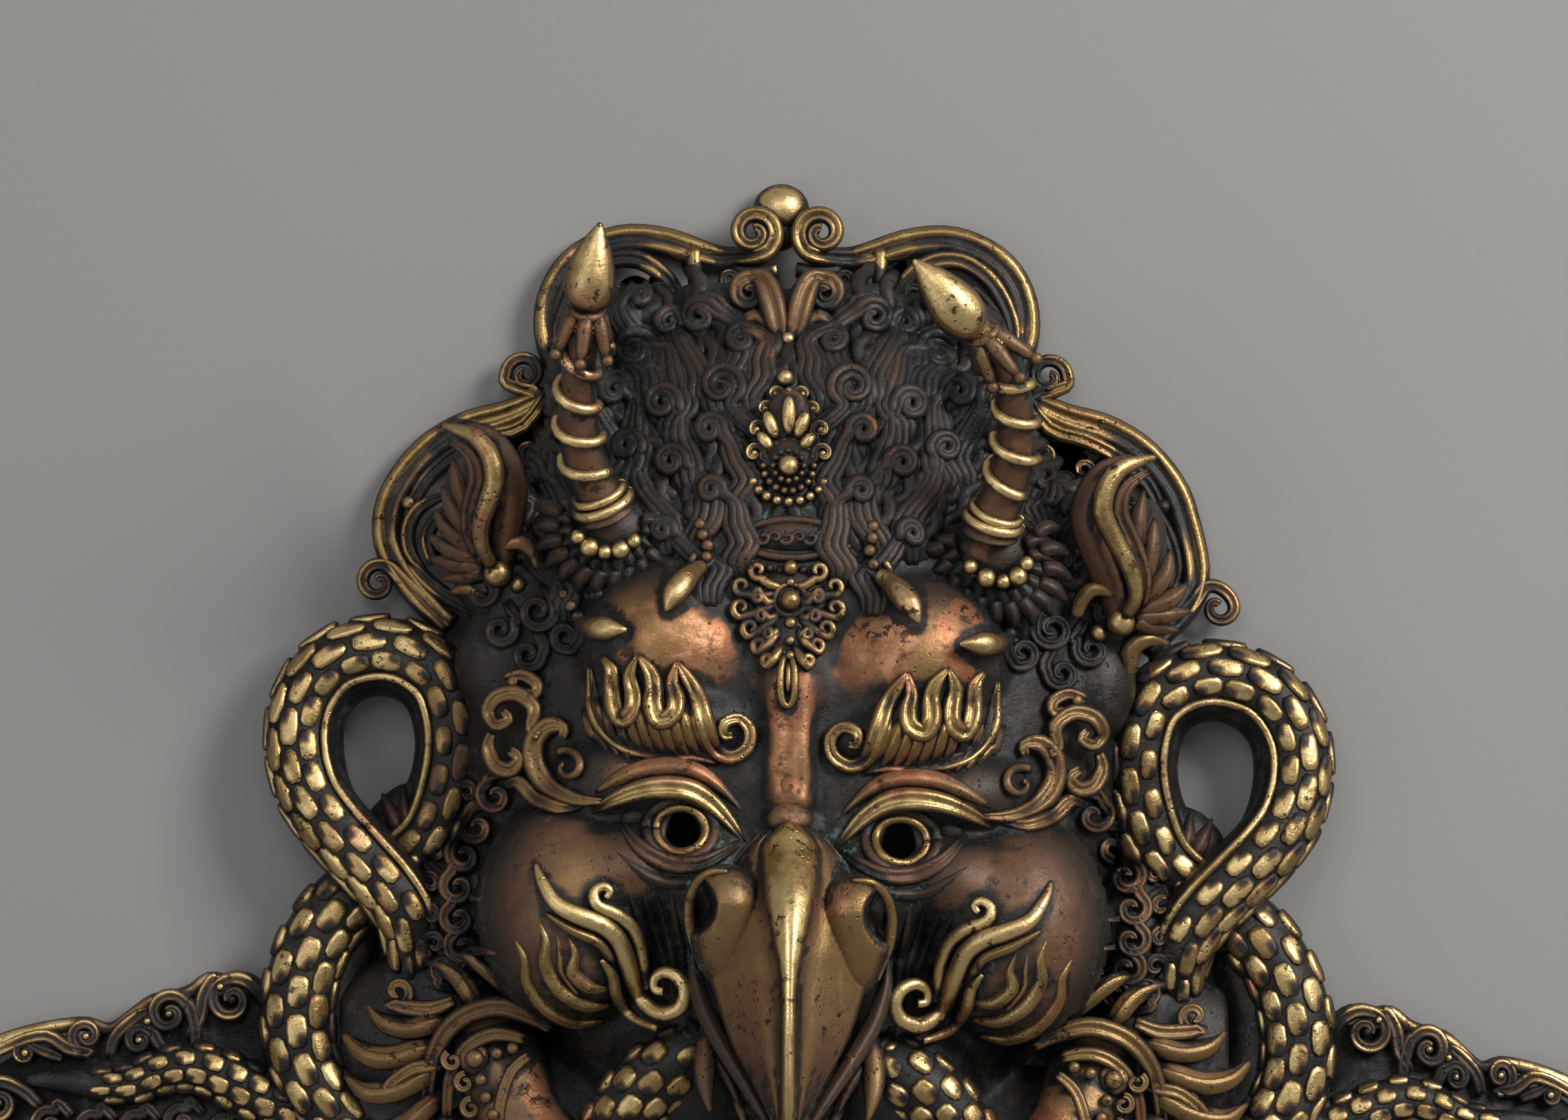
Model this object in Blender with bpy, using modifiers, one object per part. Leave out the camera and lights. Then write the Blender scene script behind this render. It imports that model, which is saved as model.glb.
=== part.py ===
"""Garuda mask: a cast copper-alloy relief mask with two separately cast horns, lying on its back.

The frame is metres, +Z up out of the face and +Y towards the crown. The free forms are drawn on a
sheet 400 units high, so UNIT turns a drawn length into metres. Walls, bores and fits have their own sizes.
"""
import math

import bmesh
import bpy
from mathutils import Matrix, Vector

# Driving dimensions, in metres
HEIGHT = 0.400
UNIT = HEIGHT / 400
WALL = 0.005
EYE_BORE_RADIUS = 0.0055
NOSTRIL_RADIUS = 0.003
HORN_GAP = 0.0003
HORN_FOOT = 0.004
REMESH_VOXEL = 0.0014
MASK_TRIANGLES = 7600
HORN_TRIANGLES = 700
CUTTER_TRIANGLES = 900

# The drawing is a view from the front, from EYE_HEIGHT units above the back plane
EYE_Y = -20
EYE_HEIGHT = 1600
DRAWN_AT = 30

# Colours of the finishes, linear
DARK_BRONZE = (0.10, 0.075, 0.055, 1)
WORN_BRASS = (0.50, 0.34, 0.14, 1)

# Height of the flat ground plates over the back plane, drawn
GROUND_HEIGHT = 6

# The head's dome: half sizes and the centre of an ellipsoid whose lower half is cut off at the back plane
DOME_HALF = (106, 146, 62)
DOME_CENTRE = (0, 22, 8)

LEFT, RIGHT = -1, 1


def smoothstep(low, high, value):
    t = min(1.0, max(0.0, (value - low) / (high - low)))
    return t * t * (3 - 2 * t)


def place(side, out, up, height):
    """A drawn point, out units from the middle line: the caster's right half is wider and hangs lower."""
    if side == RIGHT:
        low = smoothstep(95, 70, up)
        near = smoothstep(268, 180, out)
        out, up = out + low * near * (0.04 * out + 3), up - low * (0.037 * out + 2)
    drawn_in = (EYE_HEIGHT - height) / (EYE_HEIGHT - DRAWN_AT)
    return Vector((side * out * drawn_in, EYE_Y + (up - EYE_Y) * drawn_in, height)) * UNIT


def smooth_path(points, steps):
    """Catmull-Rom points, with their fourth value, the radius, through the given ones."""
    ends = [points[0], *points, points[-1]]
    found = []
    for a, b, c, d in zip(ends, ends[1:], ends[2:], ends[3:]):
        for k in range(steps):
            t = k / steps
            found.append(tuple(
                0.5 * (2 * q + (r - p) * t + (2 * p - 5 * q + 4 * r - s) * t * t + (3 * q - p - 3 * r + s) * t ** 3)
                for p, q, r, s in zip(a, b, c, d)))
    return [*found, points[-1]]


def volute(centre, outer, turns, start, spin, height, thick):
    """Points of a curl that winds in to its centre, from the angle start in degrees, thinning as it goes."""
    count = max(6, int(turns * 10))
    found = []
    for k in range(count + 1):
        t = k / count
        angle = math.radians(start + spin * 360 * turns * t)
        reach = outer * (1 - 0.80 * t)
        found.append((centre[0] + reach * math.cos(angle), centre[1] + reach * math.sin(angle),
                      height + 0.4 * thick * t, thick * (1 - 0.35 * t)))
    return found


def tube(cast, side, points, steps=3, flatten=1.0):
    """Adds a round bar along drawn points (out, up, height, radius) to the mask's casting."""
    path = smooth_path(points, steps)
    data = bpy.data.curves.new("bar", "CURVE")
    data.dimensions = "3D"
    data.bevel_depth = UNIT
    data.bevel_resolution = 2
    data.use_fill_caps = True
    spline = data.splines.new("POLY")
    spline.points.add(len(path) - 1)
    for knot, (out, up, height, radius) in zip(spline.points, path):
        knot.co = (*place(side, out, up, height), 1)
        knot.radius = max(0.3, radius)
    bar = bpy.data.objects.new("bar", data)
    bpy.context.scene.collection.objects.link(bar)
    bpy.context.view_layer.update()
    mesh = bpy.data.meshes.new_from_object(bar.evaluated_get(bpy.context.evaluated_depsgraph_get()))
    bpy.data.objects.remove(bar)
    shape = bmesh.new()
    shape.from_mesh(mesh)
    bmesh.ops.remove_doubles(shape, verts=shape.verts, dist=1e-6)
    shape.to_mesh(mesh)
    shape.free()
    cast.append(mesh)


def ball(cast, side, centre, half, turn=0.0, detail=3):
    """Adds an ellipsoid with drawn half sizes (out, up, height), turned in the drawing's plane by degrees."""
    mesh = bpy.data.meshes.new("ball")
    shape = bmesh.new()
    bmesh.ops.create_icosphere(shape, subdivisions=detail, radius=1)
    sized = Matrix.Diagonal((half[0] * UNIT, half[1] * UNIT, half[2] * UNIT, 1))
    turned = Matrix.Rotation(math.radians(-side * turn), 4, "Z")
    bmesh.ops.transform(shape, matrix=Matrix.Translation(place(side, *centre)) @ turned @ sized, verts=shape.verts)
    shape.to_mesh(mesh)
    shape.free()
    cast.append(mesh)


def both(make, cast, *shape, **options):
    """Makes a form on the left and on the right."""
    for side in (LEFT, RIGHT):
        make(cast, side, *shape, **options)


# How far the beak stands to the right of the middle line
BEAK_MIDDLE = 1.8
# Its sections reach this many times deeper into the head than they stand out
BEAK_ROOT_DEPTH = 3.2

# The round masses of the face as (centre, half sizes, turn in degrees), each on both sides
FACE_MASSES = [((37, 51, 48), (30, 28, 31), 0), ((34, 28, 50), (28, 13, 29), -8), ((37, 6, 50), (24, 13, 23), 8),
               ((33, -7, 50), (17, 11, 21), 14), ((67, -33, 40), (31, 37, 40), 0), ((30, -84, 34), (26, 26, 26), -35)]


def head(cast, inset=0):
    """The dome and the masses of brow, lids, cheeks and jaw, or with an inset the hollow behind them."""
    ball(cast, RIGHT, DOME_CENTRE, [half - inset for half in DOME_HALF], detail=5)
    for centre, half, turn in FACE_MASSES:
        both(ball, cast, centre, [size - inset for size in half], turn=turn, detail=4)


def eyelids(cast, side):
    """The upper and lower lid."""
    tube(cast, side, [(55, 2, 68, 1.5), (46, 6, 73, 2.6), (37, 7.5, 75, 3), (27, 4, 75, 2.8), (18, -5, 70, 1.6)])
    tube(cast, side, [(52, -6, 62, 1.5), (43, -15, 64, 2), (33, -18, 66, 2.2), (22, -14, 67, 1.6)])


def nose_root(cast):
    """The ridge between the eyes, from the pendant down to the beak."""
    tube(cast, LEFT, [(-2, 62, 72, 5), (-2, 35, 74, 5.5), (-2, 10, 74, 6), (-1.5, -8, 76, 7)])


def eyebrow(cast, side):
    """A row of flames on a root that ends in a curl by the nose."""
    tube(cast, side, [(66, 24, 62, 2), (55, 22, 72, 4), (42, 20, 77, 5), (28, 18, 77, 4.5), (20, 17, 76, 3.5),
                      (12.5, 20, 75, 3), (13, 26, 75, 2.6), (18, 28, 76, 2.2), (20, 24, 76, 2)])
    for root, tip in (((28, 20), (35, 45)), ((42, 22), (48, 48)), ((56, 24), (59, 47))):
        middle = (root[0] - 1.5, (root[1] + tip[1]) / 2)
        tube(cast, side, [(*root, 76, 4.5), (*middle, 78, 4), (*tip, 76, 1.5)])


def beak(cast, inset=0):
    """The upper beak: oval sections (up, height, half width, depth) joined down to its hooked tip."""
    sections = [(-6, 76, 9, 8), (-14, 80, 16, 12), (-24, 84, 24, 17), (-32, 86, 28, 19), (-42, 88, 28, 20),
                (-54, 90, 25, 21), (-66, 92, 21.5, 20), (-78, 93, 17, 19), (-89, 94, 10.5, 17), (-98, 94, 5.5, 13),
                (-106, 91, 2.5, 8)]
    mesh = bpy.data.meshes.new("beak")
    shape = bmesh.new()
    loops = []
    for up, height, half, depth in sections:
        if min(half, depth) <= inset:
            continue
        loop = bmesh.ops.create_circle(shape, segments=24, radius=1)["verts"]
        for vert in loop:
            rise = (depth - inset) * (vert.co.y if vert.co.y > 0 else BEAK_ROOT_DEPTH * vert.co.y)
            vert.co = place(LEFT, -BEAK_MIDDLE - (half - inset) * vert.co.x, up, height + rise)
        loops.append(set(loop))
    rims = [[edge for edge in shape.edges if set(edge.verts) <= loop] for loop in loops]
    for upper, lower in zip(rims, rims[1:]):
        bmesh.ops.bridge_loops(shape, edges=upper + lower)
    bmesh.ops.holes_fill(shape, edges=shape.edges, sides=0)
    bmesh.ops.recalc_face_normals(shape, faces=shape.faces)
    shape.to_mesh(mesh)
    shape.free()
    cast.append(mesh)


def beak_trim(cast):
    """The ridge, nostrils, lip and lower beak, and two fangs at each side."""
    tube(cast, LEFT, [(-1.2, -6, 82, 6), (-1.4, -16, 91, 8), (-1.4, -28, 97, 7.5), (-1.2, -40, 102, 6),
                      (-1, -56, 106, 4.8), (-1, -72, 108, 4.2), (-1.3, -88, 107, 3.6), (-1.8, -99, 101, 3),
                      (-2, -106, 91, 2)])
    for side in (LEFT, RIGHT):
        ball(cast, side, (22, -31, 84), (9, 10, 12), detail=4)
        tube(cast, side, [(28, -69, 66, 2.5), (20, -78, 74, 2.5), (10, -90, 80, 2.2), (2, -100, 82, 2)])
        tube(cast, side, [(22, -72, 62, 4.5), (24, -82, 68, 4), (23, -95, 74, 1.2)])
    ball(cast, LEFT, (-2, -98, 50), (17, 27, 22), detail=4)


def whiskers(cast, side):
    """The moustache's two curls and the flames on the cheek."""
    tube(cast, side, [(78, -21, 72, 1.5), (74, -30, 79, 3), (64, -35, 82, 3.2), (55, -43, 80, 3.2), (50, -54, 74, 3.2),
                      (44, -63, 68, 3), (36, -65, 66, 2.8), (31, -59, 67, 2.5), (35, -53, 68, 2.4), (40, -56, 70, 2)])
    tube(cast, side, [(57, -28, 78, 2.5), (60, -33, 80, 2), (51, -37, 80, 2.4), (46, -46, 76, 2.4),
                      (45, -55, 71, 2.4), (40, -61, 70, 2.2)])
    tube(cast, side, [(83, -44, 60, 1.5), (79, -55, 66, 3.5), (70, -65, 64, 4), (60, -70, 58, 2)])
    tube(cast, side, [(75, -42, 74, 1.5), (72, -52, 74, 3.5), (64, -60, 70, 3.5), (56, -64, 64, 2)])


def hair(cast, side):
    """The locks of hair: each rises from its root and winds into a curl. A lock is (root and way up, curl)."""
    locks = [
        ([(18, 138, 46), (15, 150, 38), (18, 160, 33)], (28.5, 157), 5.5, 60, 1),
        ([(36, 130, 46), (37, 142, 40), (40, 149, 35)], (49, 145), 5.5, 50, 1),
        ([(40, 112, 56), (47, 117, 52), (51, 125, 47)], (43, 129.5), 6, 175, -1),
        ([(14, 122, 58), (24, 122, 56), (32, 129, 50)], (23, 134.5), 7, 175, -1),
        ([(38, 92, 63), (31, 100, 62), (29.5, 107, 60)], (37, 108.5), 5.5, 0, 1),
        ([(66, 92, 52), (74, 97, 46), (82, 99.5, 39)], (83, 106.5), 5.5, 270, -1),
        ([(60, 80, 56), (66, 84, 52), (69, 90, 48)], (75, 89), 5.5, 10, 1),
    ]
    for rise, centre, outer, start, spin in locks:
        top = rise[-1][2] + 2
        tube(cast, side, [(*rise[0], 4), (*rise[1], 4.5), (*rise[2], 4.5)] +
             volute(centre, outer, 1.0, start, spin, top, 3.6), steps=2)
    tube(cast, side, [(10, 144, 44, 4), (8, 150, 42, 4), (3, 158, 38, 4), (1, 165, 33, 3.6), (5, 170, 29, 3)] +
         volute((11.5, 165), 4.5, 0.9, 80, 1, 30, 2.8), steps=2)
    for out, up, height in ((62, 126, 38), (66, 138, 24), (58, 152, 14), (90, 92, 30), (45, 158, 16), (24, 168, 16)):
        ball(cast, side, (out, up, height), (11, 11, 13))


def crown(cast, side):
    """The openwork border: a crown band, a temple band and a side curl, with fronds inside them."""
    tube(cast, side, list(reversed(volute((12, 184), 7, 1.1, 250, -1, 9, 4))) +
         [(16, 176.5, 8, 5), (26, 177.5, 8, 5), (38, 181.5, 8, 5), (50, 182.5, 8, 5), (60, 180, 8, 5),
          (69, 174, 8, 5), (74.5, 165, 8, 5), (76, 155, 8, 5), (74, 145, 8, 5), (70, 136, 9, 5)], steps=2)
    tube(cast, side, [(73, 147, 10, 4), (70.5, 159, 10, 4), (66, 168, 10, 4), (57, 174.5, 9, 4), (47, 174, 9, 4),
                      (40, 169, 8, 3.5)] + volute((41.5, 164), 4.5, 0.9, 10, -1, 8, 3), steps=2)
    tube(cast, side, list(reversed(volute((83.5, 138.5), 6, 1.1, 330, 1, 9, 3.6))) +
         [(79, 130.5, 9, 4.5), (90, 124.5, 8, 5.5), (102, 121, 8, 5.5), (112, 115.5, 8, 5.5), (120, 107, 8, 5.5),
          (125.5, 97, 8, 5.5), (127, 87, 8, 5), (124, 77, 9, 5), (116, 66, 12, 5), (106, 56, 16, 5)], steps=2)
    tube(cast, side, [(119, 82, 12, 4), (120, 92, 12, 4), (117, 102, 12, 4), (111, 108, 12, 4), (103, 110, 12, 4),
                      (96, 106, 14, 4), (90, 100, 20, 4)], steps=2)
    tube(cast, side, list(reversed(volute((129.5, 71), 5.5, 1.1, 20, 1, 10, 3.2))) +
         [(122, 73, 12, 3.5), (115, 65, 14, 4), (106, 58, 18, 4)], steps=2)
    tube(cast, side, [(28, 176, 7, 4), (28, 168, 10, 4), (27, 160, 16, 4)])
    tube(cast, side, [(43, 160, 9, 3.5), (44, 152, 14, 4), (46, 144, 20, 4)])
    tube(cast, side, [(80, 127, 9, 4), (74, 120, 20, 4), (68, 112, 34, 4)])
    tube(cast, side, [(3, 176, 10, 5), (3, 168, 14, 5), (2, 160, 24, 5)])
    ball(cast, side, (92, 80, 16), (16, 24, 16))


def finial(cast):
    """The bud at the top of the crown and the boss at the foot."""
    ball(cast, LEFT, (1.2, 191, 9), (9.6, 8.9, 9))
    ball(cast, LEFT, (0, -191, 5), (8, 8.5, 8))


def ear(cast, side):
    """A leaf-shaped ear: a long folded lobe with fins behind it and a curled stem."""
    shift_out, shift_up = (7, -9) if side == RIGHT else (0, 0)
    lobe = [(109, 121, 62, 2), (99, 117.5, 66, 4.5), (93, 108, 64, 5), (94, 96, 60, 5), (96, 85, 56, 4.5), (93, 79, 50, 4),
            (90, 72, 42, 7), (84, 66, 32, 6), (80, 58, 24, 5)]
    fins = [((106, 109, 52), (98, 94, 44)), ((110, 100, 50), (98, 88, 42)), ((113, 88, 46), (98, 82, 40)),
            ((110, 76, 42), (96, 76, 38)), ((106, 67, 36), (95, 71, 34)), ((93, 58, 26), (94, 66, 30))]
    tube(cast, side, [(out + shift_out, up + shift_up, height, radius) for out, up, height, radius in lobe])
    for tip, root in fins:
        tube(cast, side, [(tip[0] + shift_out, tip[1] + shift_up, tip[2], 2.4),
                          ((tip[0] + root[0]) / 2 + shift_out, (tip[1] + root[1]) / 2 + shift_up,
                           (tip[2] + root[2]) / 2, 4),
                          (root[0] + shift_out, root[1] + shift_up, root[2], 5)])
    ball(cast, side, (98 + shift_out, 88 + shift_up, 34), (13, 24, 14), turn=10)
    ball(cast, side, (88 + shift_out, 70 + shift_up, 26), (15, 16, 16))


def temple(cast, side):
    """The scrolls beside the eye and the small curls that edge the cheek."""
    tube(cast, side, [(62, 4, 60, 3), (72, 4, 54, 3.5), (79, 12, 48, 4), (80, 20, 46, 4), (76, 25, 46, 3),
                      (71, 24, 48, 2)])
    tube(cast, side, list(reversed(volute((90, 29), 4.5, 0.9, 20, 1, 42, 2.4))) +
         [(83, 35, 44, 3), (80, 30, 46, 3)], steps=2)
    tube(cast, side, [(90, 20, 42, 3.5), (88, 10, 44, 3.5), (82, 5, 48, 3)])
    for out, up in ((98, -4), (102, -14), (104, -25), (104, -35), (104, -45)):
        ball(cast, side, (out, up, 26), (5, 5, 8), detail=2)
    ball(cast, side, (92, 45, 26), (14, 18, 16))
    ball(cast, side, (104, -38, 14), (14, 26, 16))
    ball(cast, side, (112, -70, 12), (32, 26, 18))


def serpent(cast, side):
    """The great serpent: its body loops by the cheek, passes under itself and sweeps in below the arms."""
    loop = [(117, -50, 20, 10), (118, -38, 22, 11), (124, -27, 23, 11.5), (134, -16, 22, 12), (144, -5, 20, 12),
            (151, 6, 17, 12), (154, 20, 15, 12), (152, 33, 14, 12), (144, 44, 14, 12), (131, 48.5, 14, 12),
            (119, 46.5, 15, 12), (109, 38, 16, 12), (105, 22, 16, 12), (107, 5, 14, 12), (113, -10, 11, 12),
            (125, -21, 8, 12), (139, -31, 10, 12.5), (148, -43, 12, 12.5), (152.5, -56, 12, 13),
            (153.5, -69, 12, 13), (151, -82, 12, 12.5), (143, -95, 12, 12), (131, -107, 12, 11.5),
            (116, -117, 12, 11), (98, -127, 12, 10.5), (77, -137, 11, 9.5), (56, -145, 11, 8.5),
            (36, -153, 10, 7.5), (20, -161, 9, 6.5), (12, -171, 8, 5.5), (14, -180, 7, 4.5), (22, -182, 7, 3.8),
            (27, -176, 7, 3.2), (24, -171, 7, 2.6)]
    tube(cast, side, loop, steps=2)
    ball(cast, side, (118, -8, 8), (18, 16, 10), turn=40)


def arm(cast, side):
    """The arm in its ruff of leaves, and the hand that grips the lesser serpent coming from the beak."""
    tube(cast, side, [(112, -100, 22, 3), (112.5, -84, 30, 3.2), (108, -72, 36, 3.4), (100, -65, 40, 3.4),
                      (90, -62.5, 42, 3.2), (78, -67, 42, 2.5)])
    tube(cast, side, [(92, -76, 26, 16), (88, -90, 34, 15), (80, -106, 42, 12.5), (66, -118, 50, 10.5),
                      (55, -122, 54, 10)])
    ball(cast, side, (94, -85, 44), (10, 14, 6), turn=-12)
    tube(cast, side, [(22, -76, 46, 11), (36, -82, 46, 12.5), (47, -93, 44, 13), (54, -108, 44, 12.5),
                      (56, -124, 44, 11.5), (52, -140, 40, 10), (42, -150, 34, 8), (30, -152, 30, 6),
                      (24, -146, 28, 4.5), (28, -140, 28, 3.5)], steps=2)
    for k in range(4):
        tube(cast, side, [(62 + 1.5 * k, -113 - 5.6 * k, 54, 3.6), (54, -111 - 6 * k, 60, 3.4),
                          (45, -113 - 6 * k, 56, 3.2), (42, -115 - 5.6 * k, 48, 3)])
    leaves = [((103, -50), (86, -61)), ((116, -51), (97, -61)), ((132, -65), (111, -67)), ((139, -74), (115, -77)),
              ((137, -92), (114, -88)), ((128, -106), (110, -97))]
    for tip, root in leaves:
        tube(cast, side, [(*tip, 22, 1.8), (0.6 * tip[0] + 0.4 * root[0], 0.6 * tip[1] + 0.4 * root[1] - 2, 27, 4),
                          (*root, 30, 3)])
    ball(cast, side, (108, -92, 8), (38, 34, 18), turn=25)
    ball(cast, side, (70, -112, 10), (46, 38, 26))


def wing(cast, side):
    """The side panel: a scroll-edged plate with a lesser serpent's tail along it."""
    tube(cast, side, [(150, -98, 8, 9.5), (167, -94, 9, 9.5), (176, -86, 9, 9), (186, -81, 8, 8.5), (196, -83, 8, 7.5),
                      (206, -88, 8, 6.5), (216, -88, 8, 5), (228, -87.5, 8, 3.6), (240, -87, 8, 2)], steps=2)
    for centre, outer, start, spin in (
            ((175.5, -62), 6.5, 60, -1), ((195.5, -66.5), 6, 120, -1), ((221.5, -73.5), 5.5, 260, 1),
            ((241, -79.5), 3.2, 30, -1), ((246, -96), 7.5, 90, 1), ((226, -100), 6, 90, -1),
            ((204, -101), 6.5, 90, -1), ((184, -101), 6, 90, -1)):
        tube(cast, side, volute(centre, outer, 1.1, start, spin, 9, 2.4), steps=1)
    tube(cast, side, [(262, -85, 6, 3), (250, -78, 7, 3), (239, -74.5, 8, 3), (230, -76, 8, 3), (222, -78.5, 8, 3),
                      (215, -74, 7, 2.6), (211, -68, 7, 2.6), (204, -66, 7, 2.8), (197, -61.5, 7, 3),
                      (190, -62, 7, 3), (186, -57, 7, 3), (180, -55, 7, 3), (172, -55, 7, 3), (166, -59, 8, 3)],
         steps=2)
    tube(cast, side, [(253, -92, 7, 6), (256, -106, 7, 5), (248, -120, 7, 5), (232, -126, 7, 5), (214, -124, 7, 5),
                      (196, -128, 7, 5), (180, -138, 7, 5), (164, -140, 7, 5), (148, -134, 7, 5)], steps=2)
    tube(cast, side, list(reversed(volute((170, -146), 6, 1.0, 90, -1, 8, 3))) +
         [(160, -146, 8, 4), (142, -150, 8, 5), (122, -158, 8, 5), (102, -163, 8, 5), (84, -164, 8, 5)], steps=2)
    tube(cast, side, list(reversed(volute((88, -172), 6, 1.0, 90, -1, 8, 3))) +
         [(78, -172, 8, 4), (62, -176, 8, 5), (46, -183, 8, 5), (28, -189, 8, 5), (12, -190, 8, 5), (2, -188, 8, 5)],
         steps=2)
    panel(cast, side, [(150, -62), (168, -60), (184, -58), (197, -64), (209, -70), (222, -76), (240, -78),
                       (254, -86), (257, -100), (252, -114), (238, -124), (214, -122), (190, -128), (172, -136),
                       (150, -134), (140, -100)], GROUND_HEIGHT)


def apron(cast, side):
    """The plain ground behind the hands and serpents, down to the lower scrolls."""
    panel(cast, side, [(-1, -95), (120, -80), (155, -95), (152, -132), (122, -154), (102, -160), (84, -162),
                       (62, -173), (46, -180), (28, -186), (-1, -189)], GROUND_HEIGHT)


def panel(cast, side, outline, top):
    """Adds a flat plate with a drawn outline, from behind the back plane to a drawn height."""
    mesh = bpy.data.meshes.new("panel")
    shape = bmesh.new()
    behind = -2
    face = shape.faces.new([shape.verts.new(place(side, out, up, behind)) for out, up in outline])
    raised = bmesh.ops.extrude_face_region(shape, geom=[face])["geom"]
    lift = Vector((0, 0, (top - behind) * UNIT))
    bmesh.ops.translate(shape, vec=lift, verts=[v for v in raised if isinstance(v, bmesh.types.BMVert)])
    bmesh.ops.recalc_face_normals(shape, faces=shape.faces)
    shape.to_mesh(mesh)
    shape.free()
    cast.append(mesh)


def crest(cast):
    """The jewel on the hair, the ringed medallion below it and the pendant down the forehead."""
    ball(cast, RIGHT, (1, 112, 60), (10, 16, 8))
    ball(cast, RIGHT, (1, 123, 62), (6, 11, 7))
    ball(cast, LEFT, (0, 137, 60), (3, 4, 6), detail=2)
    ball(cast, RIGHT, (0.5, 110, 66), (4.5, 4.5, 6), detail=2)
    ball(cast, LEFT, (-2, 86, 66), (17, 7.5, 6))
    ball(cast, LEFT, (-1.5, 62, 72), (12, 17, 7))
    ball(cast, LEFT, (-1.5, 66, 76), (3.5, 3.5, 6), detail=2)


def horn_seat(cast, side):
    """The seat of a horn: two rings, a garland of beads and a skirt of petals, and two beaded claws."""
    x, y, z = HORN_BASE[side]
    ball(cast, side, (abs(x) - 1, y - 5, z - 8), (15, 14, 12))
    for k in range(6):
        angle = math.radians(200 + 28 * k)
        ball(cast, side, (abs(x) + 12 * math.cos(angle), y - 3 + 10 * math.sin(angle), z - 2), (3.6, 3.6, 4), detail=2)
    claws = ([(30, 89, 62, 2.5), (26, 83, 68, 2.8), (31, 76, 74, 3.6), (36, 69, 79, 4.6), (38, 63, 80, 1.2)],
             [(70, 66, 54, 3), (65, 60, 62, 3.4), (60, 57.5, 70, 4.6), (52, 56, 76, 1.2)])
    for claw in claws:
        tube(cast, side, claw)


# The middle of each horn's foot, where it stands in its seat, and the drawn course of its shaft and bud
HORN_BASE = {LEFT: (-57, 93, 66), RIGHT: (64, 88, 66)}
HORN_COURSE = {
    LEFT: [(57, 93, 66, 9.5), (59.5, 99, 69, 8), (63, 107, 73, 7.5), (66, 117, 79, 7.2), (67, 128, 86, 6.6),
           (66.5, 139, 93, 6), (65, 149, 99, 5), (64.5, 154, 102, 6.5), (64, 159, 104, 4.2),
           (63.5, 163, 106, 7.4), (63, 170, 109, 7.8), (61.5, 179, 112, 5), (60, 187, 114, 1)],
    RIGHT: [(64, 88, 66, 9.5), (67, 94, 69, 8), (70.5, 103, 74, 7.5), (73, 113, 80, 7.2), (73.5, 124, 87, 6.6),
            (72.5, 134, 93, 6), (69, 143, 99, 5), (66, 148, 102, 6.5), (62.5, 152, 104, 4.2),
            (58, 156, 106, 7.4), (53, 161.5, 109, 7.8), (46.5, 169, 112, 5), (40.5, 175.5, 114, 1)],
}


# Knots of the horn's course that the binding wire leaves and reaches, its turns and its drawn radius
COIL_FROM, COIL_TO = 2, 6
PETAL_KNOT = 7
COIL_TURNS = 3.5
COIL_RADIUS = 1.5


def horn(cast, side):
    """One horn: a tapered shaft bound with wire, and a cup of petals with a bud in it."""
    course = HORN_COURSE[side]
    reach = HORN_FOOT / UNIT / math.dist(course[0][:3], course[1][:3])
    foot = [a - (b - a) * reach for a, b in zip(course[0][:3], course[1][:3])]
    tube(cast, side, [(*foot, course[0][3]), *course], steps=4)
    wire = []
    bound = smooth_path(course[COIL_FROM:COIL_TO + 1], 8)
    for k, (out, up, height, radius) in enumerate(bound):
        angle = 2 * math.pi * COIL_TURNS * k / (len(bound) - 1)
        wire.append((out + radius * math.cos(angle), up, height + radius * math.sin(angle), COIL_RADIUS))
    tube(cast, side, wire, steps=2)
    for knot in (1, 2):
        out, up, height, radius = course[knot]
        ring = [(out + 1.05 * radius * math.cos(math.radians(a)), up - 2, height + 1.05 * radius * math.sin(
            math.radians(a)), 1.6) for a in range(0, 361, 30)]
        tube(cast, side, ring, steps=1)
    out, up, height, radius = course[PETAL_KNOT]
    for angle in range(0, 360, 72):
        across, rise = math.cos(math.radians(angle)), math.sin(math.radians(angle))
        tube(cast, side, [(out, up + 1, height, 3), (out + 5 * across, up - 1, height + 5 * rise, 2.4),
                          (out + 8.5 * across, up - 5, height + 8.5 * rise, 2)])


def solid(name, cast, collection, triangles, finish):
    """Melts the cast shapes into one skin of few triangles, as an object of its own."""
    shape = bmesh.new()
    for mesh in cast:
        shape.from_mesh(mesh)
        bpy.data.meshes.remove(mesh)
    joined = bpy.data.meshes.new(name)
    shape.to_mesh(joined)
    shape.free()
    made = bpy.data.objects.new(name, joined)
    collection.objects.link(made)
    melt = made.modifiers.new("melt", "REMESH")
    melt.mode = "VOXEL"
    melt.voxel_size = REMESH_VOXEL
    melt.use_smooth_shade = False
    ease = made.modifiers.new("ease", "SMOOTH")
    ease.iterations = 2
    if triangles:
        bpy.context.view_layer.update()
        count = len(made.evaluated_get(bpy.context.evaluated_depsgraph_get()).data.polygons) * 2
        thin = made.modifiers.new("thin", "DECIMATE")
        thin.ratio = min(1.0, triangles / count)
        thin.use_collapse_triangulate = True
    if finish:
        joined.materials.append(finish)
    return made


def cut(target, cutter, name):
    """Takes a cutter out of the target."""
    cutter.display_type = "WIRE"
    cutter.hide_render = True
    step = target.modifiers.new(name, "BOOLEAN")
    step.operation = "DIFFERENCE"
    step.object = cutter


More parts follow.
